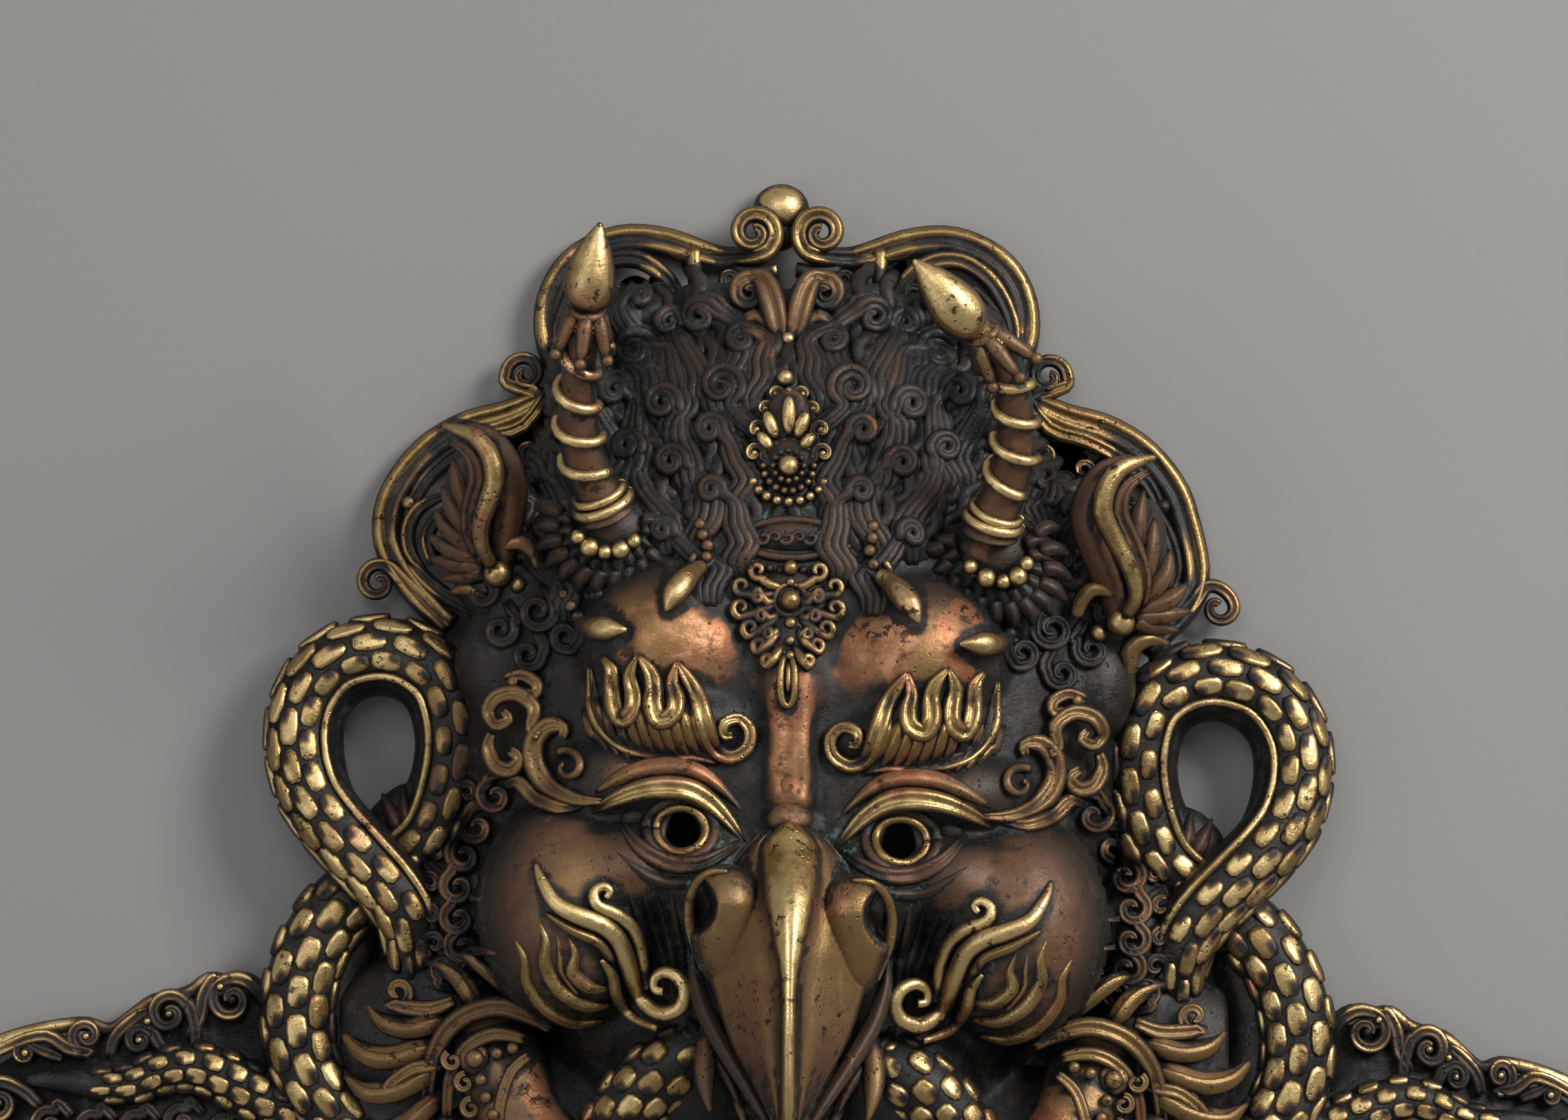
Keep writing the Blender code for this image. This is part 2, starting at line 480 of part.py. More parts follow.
def block(name, collection):
    """A slab behind the back plane, larger than the mask."""
    made = bpy.data.objects.new(name, bpy.data.meshes.new(name))
    shape = bmesh.new()
    bmesh.ops.create_cube(shape, size=1)
    room = Matrix.Translation((0, 0, -HEIGHT / 4)) @ Matrix.Diagonal((2 * HEIGHT, 2 * HEIGHT, HEIGHT / 2, 1))
    bmesh.ops.transform(shape, matrix=room, verts=shape.verts)
    shape.to_mesh(made.data)
    shape.free()
    collection.objects.link(made)
    return made


def bore(name, near, far, radius, collection):
    """A round cutter from one point to another."""
    made = bpy.data.objects.new(name, bpy.data.meshes.new(name))
    way = far - near
    shape = bmesh.new()
    bmesh.ops.create_cone(shape, segments=20, radius1=radius, radius2=radius, depth=way.length, cap_ends=True)
    turned = way.to_track_quat("Z", "Y").to_matrix().to_4x4()
    bmesh.ops.transform(shape, matrix=Matrix.Translation((near + far) / 2) @ turned, verts=shape.verts)
    shape.to_mesh(made.data)
    shape.free()
    collection.objects.link(made)
    return made


def metal(name, colour, roughness, metallic):
    """A plain metal finish."""
    made = bpy.data.materials.new(name)
    made.use_nodes = True
    shader = made.node_tree.nodes["Principled BSDF"]
    shader.inputs["Base Color"].default_value = colour
    shader.inputs["Roughness"].default_value = roughness
    shader.inputs["Metallic"].default_value = metallic
    return made


def build():
    for old in list(bpy.data.objects):
        bpy.data.objects.remove(old)
    part = bpy.data.collections.new("garuda_mask")
    cutters = bpy.data.collections.new("cutters")
    for collection in (part, cutters):
        bpy.context.scene.collection.children.link(collection)
    cutters.hide_render = True

    cast = []
    head(cast)
    nose_root(cast)
    beak(cast)
    beak_trim(cast)
    finial(cast)
    crest(cast)
    for make in (eyelids, eyebrow, whiskers, hair, crown, ear, temple, serpent, arm, wing, apron, horn_seat):
        both(make, cast)
    mask = solid("mask", cast, part, MASK_TRIANGLES, metal("worn_bronze", DARK_BRONZE, 0.45, 1.0))

    hollow = []
    inset = WALL / UNIT
    head(hollow, inset)
    beak(hollow, inset)
    cut(mask, solid("cut_hollow", hollow, cutters, CUTTER_TRIANGLES, None), "hollow")
    cut(mask, block("cut_back", cutters), "back")
    for side, word in ((LEFT, "left"), (RIGHT, "right")):
        cut(mask, bore("cut_eye_" + word, place(side, 32, -7.5, 90), place(side, 32, -7.5, 0), EYE_BORE_RADIUS,
                       cutters), "eye_" + word)
        cut(mask, bore("cut_nostril_" + word, place(side, 36, -34, 96), place(side, 4, -34, 74), NOSTRIL_RADIUS,
                       cutters), "nostril_" + word)
        shapes = []
        horn(shapes, side)
        made = solid("horn_" + word, shapes, part, HORN_TRIANGLES, metal("gilt_horn_" + word, WORN_BRASS, 0.35, 1.0))
        seat = made.copy()
        seat.name = "cut_seat_" + word
        cutters.objects.link(seat)
        room = seat.modifiers.new("room", "DISPLACE")
        room.strength = HORN_GAP
        room.mid_level = 0
        cut(mask, seat, "seat_" + word)


build()
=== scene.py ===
"""Garuda mask, lying on its back: shell, serpents, crown, hair, horns and ornaments in worn metal."""
import math
import random

import bmesh
import bpy
import numpy as np
from mathutils import Matrix, Vector


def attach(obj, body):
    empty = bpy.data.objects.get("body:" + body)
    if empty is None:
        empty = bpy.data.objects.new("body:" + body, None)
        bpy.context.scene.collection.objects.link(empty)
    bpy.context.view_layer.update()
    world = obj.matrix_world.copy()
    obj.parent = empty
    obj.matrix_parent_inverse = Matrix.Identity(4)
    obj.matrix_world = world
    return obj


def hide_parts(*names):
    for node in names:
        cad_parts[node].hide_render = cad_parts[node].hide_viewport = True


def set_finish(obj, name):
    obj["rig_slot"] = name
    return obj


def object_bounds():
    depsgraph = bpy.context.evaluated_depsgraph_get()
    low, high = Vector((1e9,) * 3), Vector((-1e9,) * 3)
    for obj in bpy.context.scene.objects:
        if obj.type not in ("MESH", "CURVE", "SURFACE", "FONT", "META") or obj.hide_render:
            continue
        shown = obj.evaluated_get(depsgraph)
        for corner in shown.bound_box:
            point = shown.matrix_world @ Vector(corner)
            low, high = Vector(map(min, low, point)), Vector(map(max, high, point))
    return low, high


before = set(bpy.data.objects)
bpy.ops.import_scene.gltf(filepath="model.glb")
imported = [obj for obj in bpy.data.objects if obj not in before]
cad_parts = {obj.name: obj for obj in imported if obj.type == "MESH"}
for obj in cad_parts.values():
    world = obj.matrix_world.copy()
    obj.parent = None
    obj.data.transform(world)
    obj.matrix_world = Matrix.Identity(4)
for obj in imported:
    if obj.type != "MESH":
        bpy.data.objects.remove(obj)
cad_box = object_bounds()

# Sizes in metres
UNIT = 0.001
WALL = 0.004
GROUND_STEP = 0.0015
GROUND_BLEND = 0.0030
GROUND_LOW = -0.012
GROUND_OUTSIDE = -0.05
MERGE_WITHIN = 2e-6
SCALE_THICK = 0.0016
KEEL_THICK = 0.0014
WEAR_CELL = 0.0009
FINE_RELIEF, BROAD_RELIEF = 0.0010, 0.0030
COVERED_FROM, COVERED_FADE = 0.0006, 0.0015
FLOOR_DROP = 0.0004
LAMP_AIM = (0, 0.03, 0.03)

# Drawn units: forms are drawn on a sheet 400 units high, as seen by an eye in front of the mask
EYE_Y = -20
EYE_HEIGHT = 1600
DRAWN_AT = 30
GROUND_BOX = (-142, 142, -196, 168)
TABLE_BOX = (-300, 300, -230, 230)
HEIGHT_GUESS = 45.0
EYE_AT = (32.2, -7.5)
EYE_HOLE = 5.6

LEFT, RIGHT = -1, 1
random.seed(7)


def smoothstep(low, high, value):
    """Eased from 0 at low to 1 at high."""
    t = min(1.0, max(0.0, (value - low) / (high - low)))
    return t * t * (3 - 2 * t)


def place(side, out, up, height):
    """A drawn point, out units from the middle line: the caster's right half is wider and hangs lower."""
    if side == RIGHT:
        low = smoothstep(95, 70, up)
        near = smoothstep(268, 180, out)
        out, up = out + low * near * (0.04 * out + 3), up - low * (0.037 * out + 2)
    drawn_in = (EYE_HEIGHT - height) / (EYE_HEIGHT - DRAWN_AT)
    return Vector((side * out * drawn_in, EYE_Y + (up - EYE_Y) * drawn_in, height)) * UNIT


def smooth_path(points, steps):
    """Catmull-Rom points, with every value, through the given ones."""
    ends = [points[0], *points, points[-1]]
    found = []
    for a, b, c, d in zip(ends, ends[1:], ends[2:], ends[3:]):
        for k in range(steps):
            t = k / steps
            found.append(tuple(
                0.5 * (2 * q + (r - p) * t + (2 * p - 5 * q + 4 * r - s) * t * t
                       + (3 * q - p - 3 * r + s) * t ** 3)
                for p, q, r, s in zip(a, b, c, d)))
    return [*found, points[-1]]


def curl(centre, outer, turns, start, spin, thick, lift=0.0, inner=0.18):
    """(out, up, lift, radius) of a curl that winds in to its centre from the angle start, in degrees."""
    count = max(8, int(turns * 12))
    found = []
    for k in range(count + 1):
        t = k / count
        angle = math.radians(start + spin * 360 * turns * t)
        reach = outer * (1 - (1 - inner) * t ** 1.25)
        found.append((centre[0] + reach * math.cos(angle), centre[1] + reach * math.sin(angle),
                      lift + 0.7 * thick * t, thick * (1 - 0.45 * t)))
    return found


# Round masses of the ground: (centre, half sizes, turn in degrees), each on both sides
MASSES = [
    ((0, 22, 8), (106, 146, 62), 0), ((37, 51, 48), (30, 28, 31), 0), ((34, 28, 50), (28, 13, 29), -8),
    ((37, 6, 50), (24, 13, 23), 8), ((33, -7, 50), (17, 11, 21), 14), ((67, -33, 40), (31, 37, 40), 0),
    ((48, -20, 46), (22, 18, 33), 0), ((24, -24, 50), (20, 22, 30), 0), ((52, 8, 44), (22, 16, 27), 0),
    ((30, -84, 34), (26, 26, 26), -35), ((92, 80, 16), (16, 24, 16), 0), ((92, 45, 26), (14, 18, 16), 0),
    ((104, -38, 14), (14, 26, 16), 0), ((112, -70, 12), (32, 26, 18), 0), ((108, -92, 8), (38, 34, 18), 25),
    ((70, -112, 10), (46, 38, 26), 0), ((62, 126, 34), (13, 13, 14), 0), ((66, 138, 20), (12, 12, 14), 0),
    ((58, 152, 10), (13, 12, 13), 0), ((90, 92, 28), (12, 12, 14), 0), ((45, 156, 14), (13, 10, 14), 0),
    ((22, 160, 16), (16, 12, 16), 0), ((88, 70, 26), (15, 16, 16), 0), ((118, -8, 6), (18, 16, 9), 40),
    ((2, 24, 50), (7.6, 40, 27), 0), ((3, 40, 50), (11, 15, 25.4), 0),
    ((2, 4, 52), (6.4, 6, 24.5), 0), ((2, -5, 52), (7, 7, 26), 0), ((60, -150, -10), (110, 44, 17), 0)]


def mass_table():
    """Every mass on its side, in metres: centre, half sizes, and the sine and cosine of its turn."""
    found = []
    for centre, half, turn in MASSES:
        for side in (LEFT, RIGHT):
            angle = math.radians(-side * turn)
            found.append((*place(side, *centre), *(size * UNIT for size in half), math.sin(angle),
                          math.cos(angle)))
    return found


MASS_TABLE = mass_table()


def ground_height(x, y):
    """The ground's height in metres over points of the back plane: a smooth union of the masses."""
    x, y = np.asarray(x, float), np.asarray(y, float)
    total = np.full(x.shape, math.exp(GROUND_LOW / GROUND_BLEND))
    for cx, cy, cz, hx, hy, hz, sine, cosine in MASS_TABLE:
        dx, dy = x - cx, y - cy
        u, v = (dx * cosine + dy * sine) / hx, (dy * cosine - dx * sine) / hy
        inside = 1 - u * u - v * v
        high = np.where(inside > 0, cz + hz * np.sqrt(np.maximum(inside, 0)), GROUND_OUTSIDE)
        total += np.exp(high / GROUND_BLEND)
    return GROUND_BLEND * np.log(total)


def ground_table():
    """The ground's drawn heights at every unit of the back plane, for quick reading."""
    low_x, high_x, low_y, high_y = TABLE_BOX
    x, y = np.meshgrid(np.arange(low_x, high_x + 1) * UNIT, np.arange(low_y, high_y + 1) * UNIT)
    return ground_height(x, y) / UNIT


GROUND_TABLE = ground_table()


def on_ground(side, out, up):
    """The drawn height of the ground at a drawn point."""
    height = HEIGHT_GUESS
    for _ in range(4):
        spot = place(side, out, up, height) / UNIT
        column, row = spot.x - TABLE_BOX[0], spot.y - TABLE_BOX[2]
        i, j = int(column), int(row)
        t, u = column - i, row - j
        height = ((GROUND_TABLE[j, i] * (1 - t) + GROUND_TABLE[j, i + 1] * t) * (1 - u)
                  + (GROUND_TABLE[j + 1, i] * (1 - t) + GROUND_TABLE[j + 1, i + 1] * t) * u)
    return float(height)


def link(made):
    """Puts a new object into the scene."""
    bpy.context.scene.collection.objects.link(made)


def section(name, rise, count=24):
    """A closed section for bars: half its width is 1, and rise gives the height of its upper side."""
    data = bpy.data.curves.new(name, "CURVE")
    data.dimensions = "2D"
    spline = data.splines.new("POLY")
    spline.points.add(count - 1)
    for k, knot in enumerate(spline.points):
        angle = 2 * math.pi * k / count
        x, y = math.cos(angle), math.sin(angle)
        knot.co = (x, y * rise(x) if y > 0 else 0.6 * y, 0, 1)
    spline.use_cyclic_u = True
    made = bpy.data.objects.new(name, data)
    link(made)
    return made


SECTIONS = {
    "round": section("round_section", lambda x: 1.0, 16),
    "ridged": section("ridged_section", lambda x: 1.0 - 0.55 * math.exp(-(x / 0.26) ** 2)),
    "strand": section("strand_section", lambda x: 1.0, 10),
    "keel": section("keel_section", lambda x: 0.55 + 0.6 * math.exp(-abs(x) / 0.35), 18),
}


class Casting:
    """Shapes that belong to one piece, gathered and then made one mesh."""

    def __init__(self, name, polish=0.5, node="mask", slot="worn_bronze"):
        self.name, self.polish, self.node, self.slot = name, polish, node, slot
        self.shape = bmesh.new()
        self.bars = {}

    def run(self, knots, kind="round"):
        """A bar along (place, radius) knots in metres."""
        self.bars.setdefault((kind, self.polish), []).append(knots)

    def bar(self, side, points, kind="round", steps=4):
        """A bar along (out, up, height, radius) points."""
        self.run([(place(side, *point[:3]), max(0.25, point[3]) * UNIT) for point in smooth_path(points,
                                                                                                 steps)],
                 kind)

    def lie(self, side, points, kind="round", steps=4):
        """A bar that lies on the ground: its points are (out, up, lift, radius)."""
        self.run([(place(side, out, up, on_ground(side, out, up) + lift), max(0.25, radius) * UNIT)
                  for out, up, lift, radius in smooth_path(points, steps)], kind)

    def ball(self, side, centre, half, turn=0.0, detail=2, lying=False):
        """An ellipsoid at (out, up, height) with half sizes; lying ones take the height from the ground."""
        out, up, height = centre
        if lying:
            height += on_ground(side, out, up)
        fresh = bmesh.ops.create_icosphere(self.shape, subdivisions=detail, radius=1)["verts"]
        sized = Matrix.Diagonal((half[0] * UNIT, half[1] * UNIT, half[2] * UNIT, 1))
        turned = Matrix.Rotation(math.radians(-side * turn), 4, "Z")
        bmesh.ops.transform(self.shape, verts=fresh,
                            matrix=Matrix.Translation(place(side, out, up, height)) @ turned @ sized)
        self.mark(len(self.shape.verts) - len(fresh))

    def scale(self, spot, along, out_of, length, width, thick):
        """One horny scale: a soft-cornered pillow at spot, long along one way and facing another."""
        fresh = bmesh.ops.create_uvsphere(self.shape, u_segments=10, v_segments=6, radius=1)["verts"]
        for vert in fresh:
            x, y, z = vert.co
            vert.co = (math.copysign(abs(x) ** 0.64, x), math.copysign(abs(y) ** 0.64, y),
                       math.copysign(abs(z) ** 0.5, z))
        facing = (out_of - along * out_of.dot(along)).normalized()
        across = facing.cross(along)
        turned = Matrix((along, across, facing)).transposed().to_4x4()
        sized = Matrix.Diagonal((length / 2, width / 2, thick, 1))
        bmesh.ops.transform(self.shape, verts=fresh, matrix=Matrix.Translation(spot) @ turned @ sized)
        self.mark(len(self.shape.verts) - len(fresh))

    def mark(self, low):
        """Gives the vertices from the one numbered low on the polish that is set now."""
        self.shape.verts.ensure_lookup_table()
        layer = self.shape.verts.layers.float.get("polish") or self.shape.verts.layers.float.new("polish")
        self.shape.verts.ensure_lookup_table()
        for vert in self.shape.verts[low:]:
            vert[layer] = self.polish

    def finish(self):
        """The piece as one object at the origin."""
        for (kind, polish), bars in self.bars.items():
            data = bpy.data.curves.new(self.name + "_bars", "CURVE")
            data.dimensions = "3D"
            data.bevel_mode = "OBJECT"
            data.bevel_object = SECTIONS[kind]
            data.twist_mode = "Z_UP"
            data.use_fill_caps = True
            for knots in bars:
                spline = data.splines.new("POLY")
                spline.points.add(len(knots) - 1)
                for knot, (spot, radius) in zip(spline.points, knots):
                    knot.co = (*spot, 1)
                    knot.radius = radius
            bars_object = bpy.data.objects.new(self.name + "_bars", data)
            link(bars_object)
            bpy.context.view_layer.update()
            depsgraph = bpy.context.evaluated_depsgraph_get()
            mesh = bpy.data.meshes.new_from_object(bars_object.evaluated_get(depsgraph))
            bpy.data.objects.remove(bars_object)
            self.polish = polish
            before = len(self.shape.verts)
            self.shape.from_mesh(mesh)
            self.mark(before)
            bpy.data.meshes.remove(mesh)
        bmesh.ops.remove_doubles(self.shape, verts=self.shape.verts, dist=MERGE_WITHIN)
        bmesh.ops.recalc_face_normals(self.shape, faces=self.shape.faces)
        for face in self.shape.faces:
            face.smooth = True
        for vert in self.shape.verts:
            vert.co.z = max(vert.co.z, 0.0)
        mesh = bpy.data.meshes.new(self.name)
        self.shape.to_mesh(mesh)
        self.shape.free()
        made = bpy.data.objects.new(self.name, mesh)
        link(made)
        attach(made, "root")
        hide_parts(self.node)
        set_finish(made, self.slot)
        return made


def shell():
    """The hollow shell under everything: a relief over the back plane, with a wall and two eye holes."""
    low_x, high_x, low_y, high_y = (value * UNIT for value in GROUND_BOX)
    across, along = round((high_x - low_x) / GROUND_STEP), round((high_y - low_y) / GROUND_STEP)
    shape = bmesh.new()
    bmesh.ops.create_grid(shape, x_segments=across, y_segments=along, size=0.5)
    sized = Matrix.Translation(((low_x + high_x) / 2, (low_y + high_y) / 2, 0)) @ Matrix.Diagonal(
        (high_x - low_x, high_y - low_y, 1, 1))
    bmesh.ops.transform(shape, matrix=sized, verts=shape.verts)
    heights = ground_height([vert.co.x for vert in shape.verts], [vert.co.y for vert in shape.verts])
    for vert, height in zip(shape.verts, heights):
        vert.co.z = height
    eyes = [place(side, *EYE_AT, 70) for side in (LEFT, RIGHT)]
    hole = EYE_HOLE * UNIT
    gone = []
    for vert in shape.verts:
        away = min((vert.co.xy - eye.xy).length for eye in eyes)
        if vert.co.z < 0.001 or away < hole - 0.4 * GROUND_STEP:
            gone.append(vert)
    bmesh.ops.delete(shape, geom=gone, context="VERTS")
    for vert in shape.verts:
        for eye in eyes:
            offset = vert.co.xy - eye.xy
            if vert.is_boundary and offset.length < 2 * hole:
                vert.co.xy = eye.xy + offset.normalized() * hole
    rim = [vert for vert in shape.verts
           if vert.is_boundary and min((vert.co.xy - eye.xy).length for eye in eyes) > 2 * hole]
    for _ in range(8):
        middles = []
        for vert in rim:
            beside = [edge.other_vert(vert).co for edge in vert.link_edges if edge.is_boundary]
            middles.append(0.5 * vert.co + 0.5 * sum(beside, Vector()) / len(beside))
        for vert, spot in zip(rim, middles):
            vert.co = spot
    bmesh.ops.solidify(shape, geom=shape.faces[:] + shape.edges[:] + shape.verts[:], thickness=WALL)
    return shape


def ground_piece():
    """The shell as one piece: dark, with a bare brow and nose and brown cheeks."""
    piece = Casting("face_shell", 0.30)
    piece.shape.free()
    piece.shape = shell()
    piece.mark(0)
    layer = piece.shape.verts.layers.float["polish"]
    spots = np.array([vert.co[:] for vert in piece.shape.verts])
    for vert, bare, dull in zip(piece.shape.verts, zone(spots, BARE_ZONES), zone(spots, BROWN_ZONES)):
        vert[layer] = 0.16 + max(0.50 * bare, 0.34 * dull)
    return piece.finish()


def beak_piece():
    """The hooked upper beak: joined sections with a ridge strip, winged nostrils, a lip and fangs."""
    piece = Casting("beak")
    middle = 1.8
    sections = [(-4, 74, 4, 6, 1.5), (-8, 75, 9, 10, 3), (-14, 76, 15, 15, 4), (-20, 77, 20, 20, 4.6),
                (-26, 78, 24, 24, 4.6), (-32, 79, 26.5, 26, 4.6), (-38, 80, 27.5, 27, 4.4),
                (-46, 82, 27, 27.5, 4),
                (-54, 83, 25.5, 27, 3.8), (-62, 85, 23, 26, 3.6), (-70, 87, 20.5, 25, 3.4),
                (-78, 89, 17, 23, 3.2),
                (-86, 91, 12.5, 20.5, 2.8), (-93, 93, 8.8, 16, 2.4), (-99, 93, 5.6, 12, 1.8),
                (-104, 91, 3, 8, 1),
                (-107, 89, 1.2, 4, 0.4)]
    shape = piece.shape
    layer = shape.verts.layers.float.new("polish")
    loops = []
    for up, height, half, depth, ridge in smooth_path(sections, 4):
        loop = bmesh.ops.create_circle(shape, segments=88, radius=1)["verts"]
        band = 2.6 + 6.4 * smoothstep(-62, -18, up) * smoothstep(-3, -13, up)
        for vert in loop:
            x, y = vert.co.x, vert.co.y
            turned = math.acos(abs(x)) / (math.pi / 2)
            strip = min(band, 0.8 * half)
            if turned > 0.6:
                out = strip * (1 - turned) / 0.4
            else:
                out = strip + (half - strip) * (0.6 - turned) / 0.6
            if y > 0:
                rise = depth * (0.74 * (1 - math.hypot(out, 0.8 * strip) / half) + 0.26 * y)
                rise += ridge * smoothstep(0.56, 0.66, turned) * y
                rise -= 1.3 * math.exp(-((turned - 0.5) / 0.06) ** 2) * y
                rise -= 0.8 * math.exp(-(out / 0.5) ** 2) * smoothstep(-24, -40, up)
            else:
                out, rise = half * abs(x), 2.4 * depth * y
            vert.co = place(LEFT, -middle - math.copysign(out, x), up, height + rise)
            vert[layer] = 0.9 if turned > 0.58 and y > 0 else 0.58
        loops.append(set(loop))
    rims = [[edge for edge in shape.edges if set(edge.verts) <= loop] for loop in loops]
    for upper, lower in zip(rims, rims[1:]):
        bmesh.ops.bridge_loops(shape, edges=upper + lower)
    bmesh.ops.holes_fill(shape, edges=shape.edges, sides=0)
    bmesh.ops.recalc_face_normals(shape, faces=shape.faces)
    for side in (LEFT, RIGHT):
        fresh = bmesh.ops.create_icosphere(shape, subdivisions=5, radius=1)["verts"]
        sized = Matrix.Diagonal((0.0118, 0.0124, 0.0138, 1))
        turned = Matrix.Rotation(math.radians(side * 10), 4, "Z")
        root = place(side, 18.6, -31, 84)
        bmesh.ops.transform(shape, matrix=Matrix.Translation(root) @ turned @ sized, verts=fresh)
        for vert in fresh:
            vert[layer] = 0.56
            below = max(root.y - vert.co.y, 0)
            vert.co.y -= 1.1 * below
            vert.co.z -= 0.5 * below
        # Nostril pits: polish 0 paints their floors black. This is painted shade standing in for the dark of
        # the open nostrils, over the dark patina. Their rims get 0.7.
        for vert in shape.verts:
            offset = vert.co - place(side, 26.2, -31.6, 92)
            near = math.hypot((offset.x * side - 26 * offset.y ** 2) / 0.0042, offset.y / 0.0082)
            if near < 1.25 and vert.co.z > 0.074:
                vert.co.z -= 0.014 * smoothstep(1.25, 0.6, near)
                vert[layer] = 0.0 if near < 1.05 else 0.7
    for side in (LEFT, RIGHT):
        piece.polish = 0.6
        piece.bar(side, [(18, -20.6, 93, 0.6), (23.6, -21, 92, 1.3), (28, -24.6, 88, 1.6),
                         (30.2, -31.6, 84, 1.7),
                         (29.6, -39.6, 82, 1.7), (27.6, -46, 81, 1.4), (26, -52, 81, 0.6)])
        piece.polish = 0.36
        piece.bar(side, [(29, -46, 68, 1), (28, -55, 69, 2.4), (25, -65, 73, 2.9), (20.4, -74, 77, 2.9),
                         (15, -83, 81, 2.5), (9.6, -92, 85, 2), (5, -100, 88, 1)], "keel")
        piece.bar(side, [(32, -65, 54, 0.8), (28, -71, 59, 2.2), (22.5, -78, 64, 2.4), (17.5, -86, 68, 1.6),
                         (14, -94, 70, 0.6)], "keel")
        piece.polish = 0.5
        piece.bar(side, [(22, -70, 60, 4.4), (24.5, -79, 65, 4), (24.6, -88, 69, 3), (23, -96.6, 72, 0.7)])
        piece.bar(side, [(13.5, -84, 52, 3), (14, -92, 58, 2.6), (12, -101, 62, 0.8)])
    piece.polish = 0.3
    lower = [(-70, 40, 22, 20), (-82, 46, 20, 22), (-95, 50, 16, 22), (-108, 52, 11.5, 19), (-118, 50, 7, 14),
             (-125, 46, 2.5, 7)]
    for up, height, half, rise in smooth_path(lower, 3):
        piece.ball(LEFT, (-middle, up, height), (half, 7, rise), detail=3)
    return piece.finish()


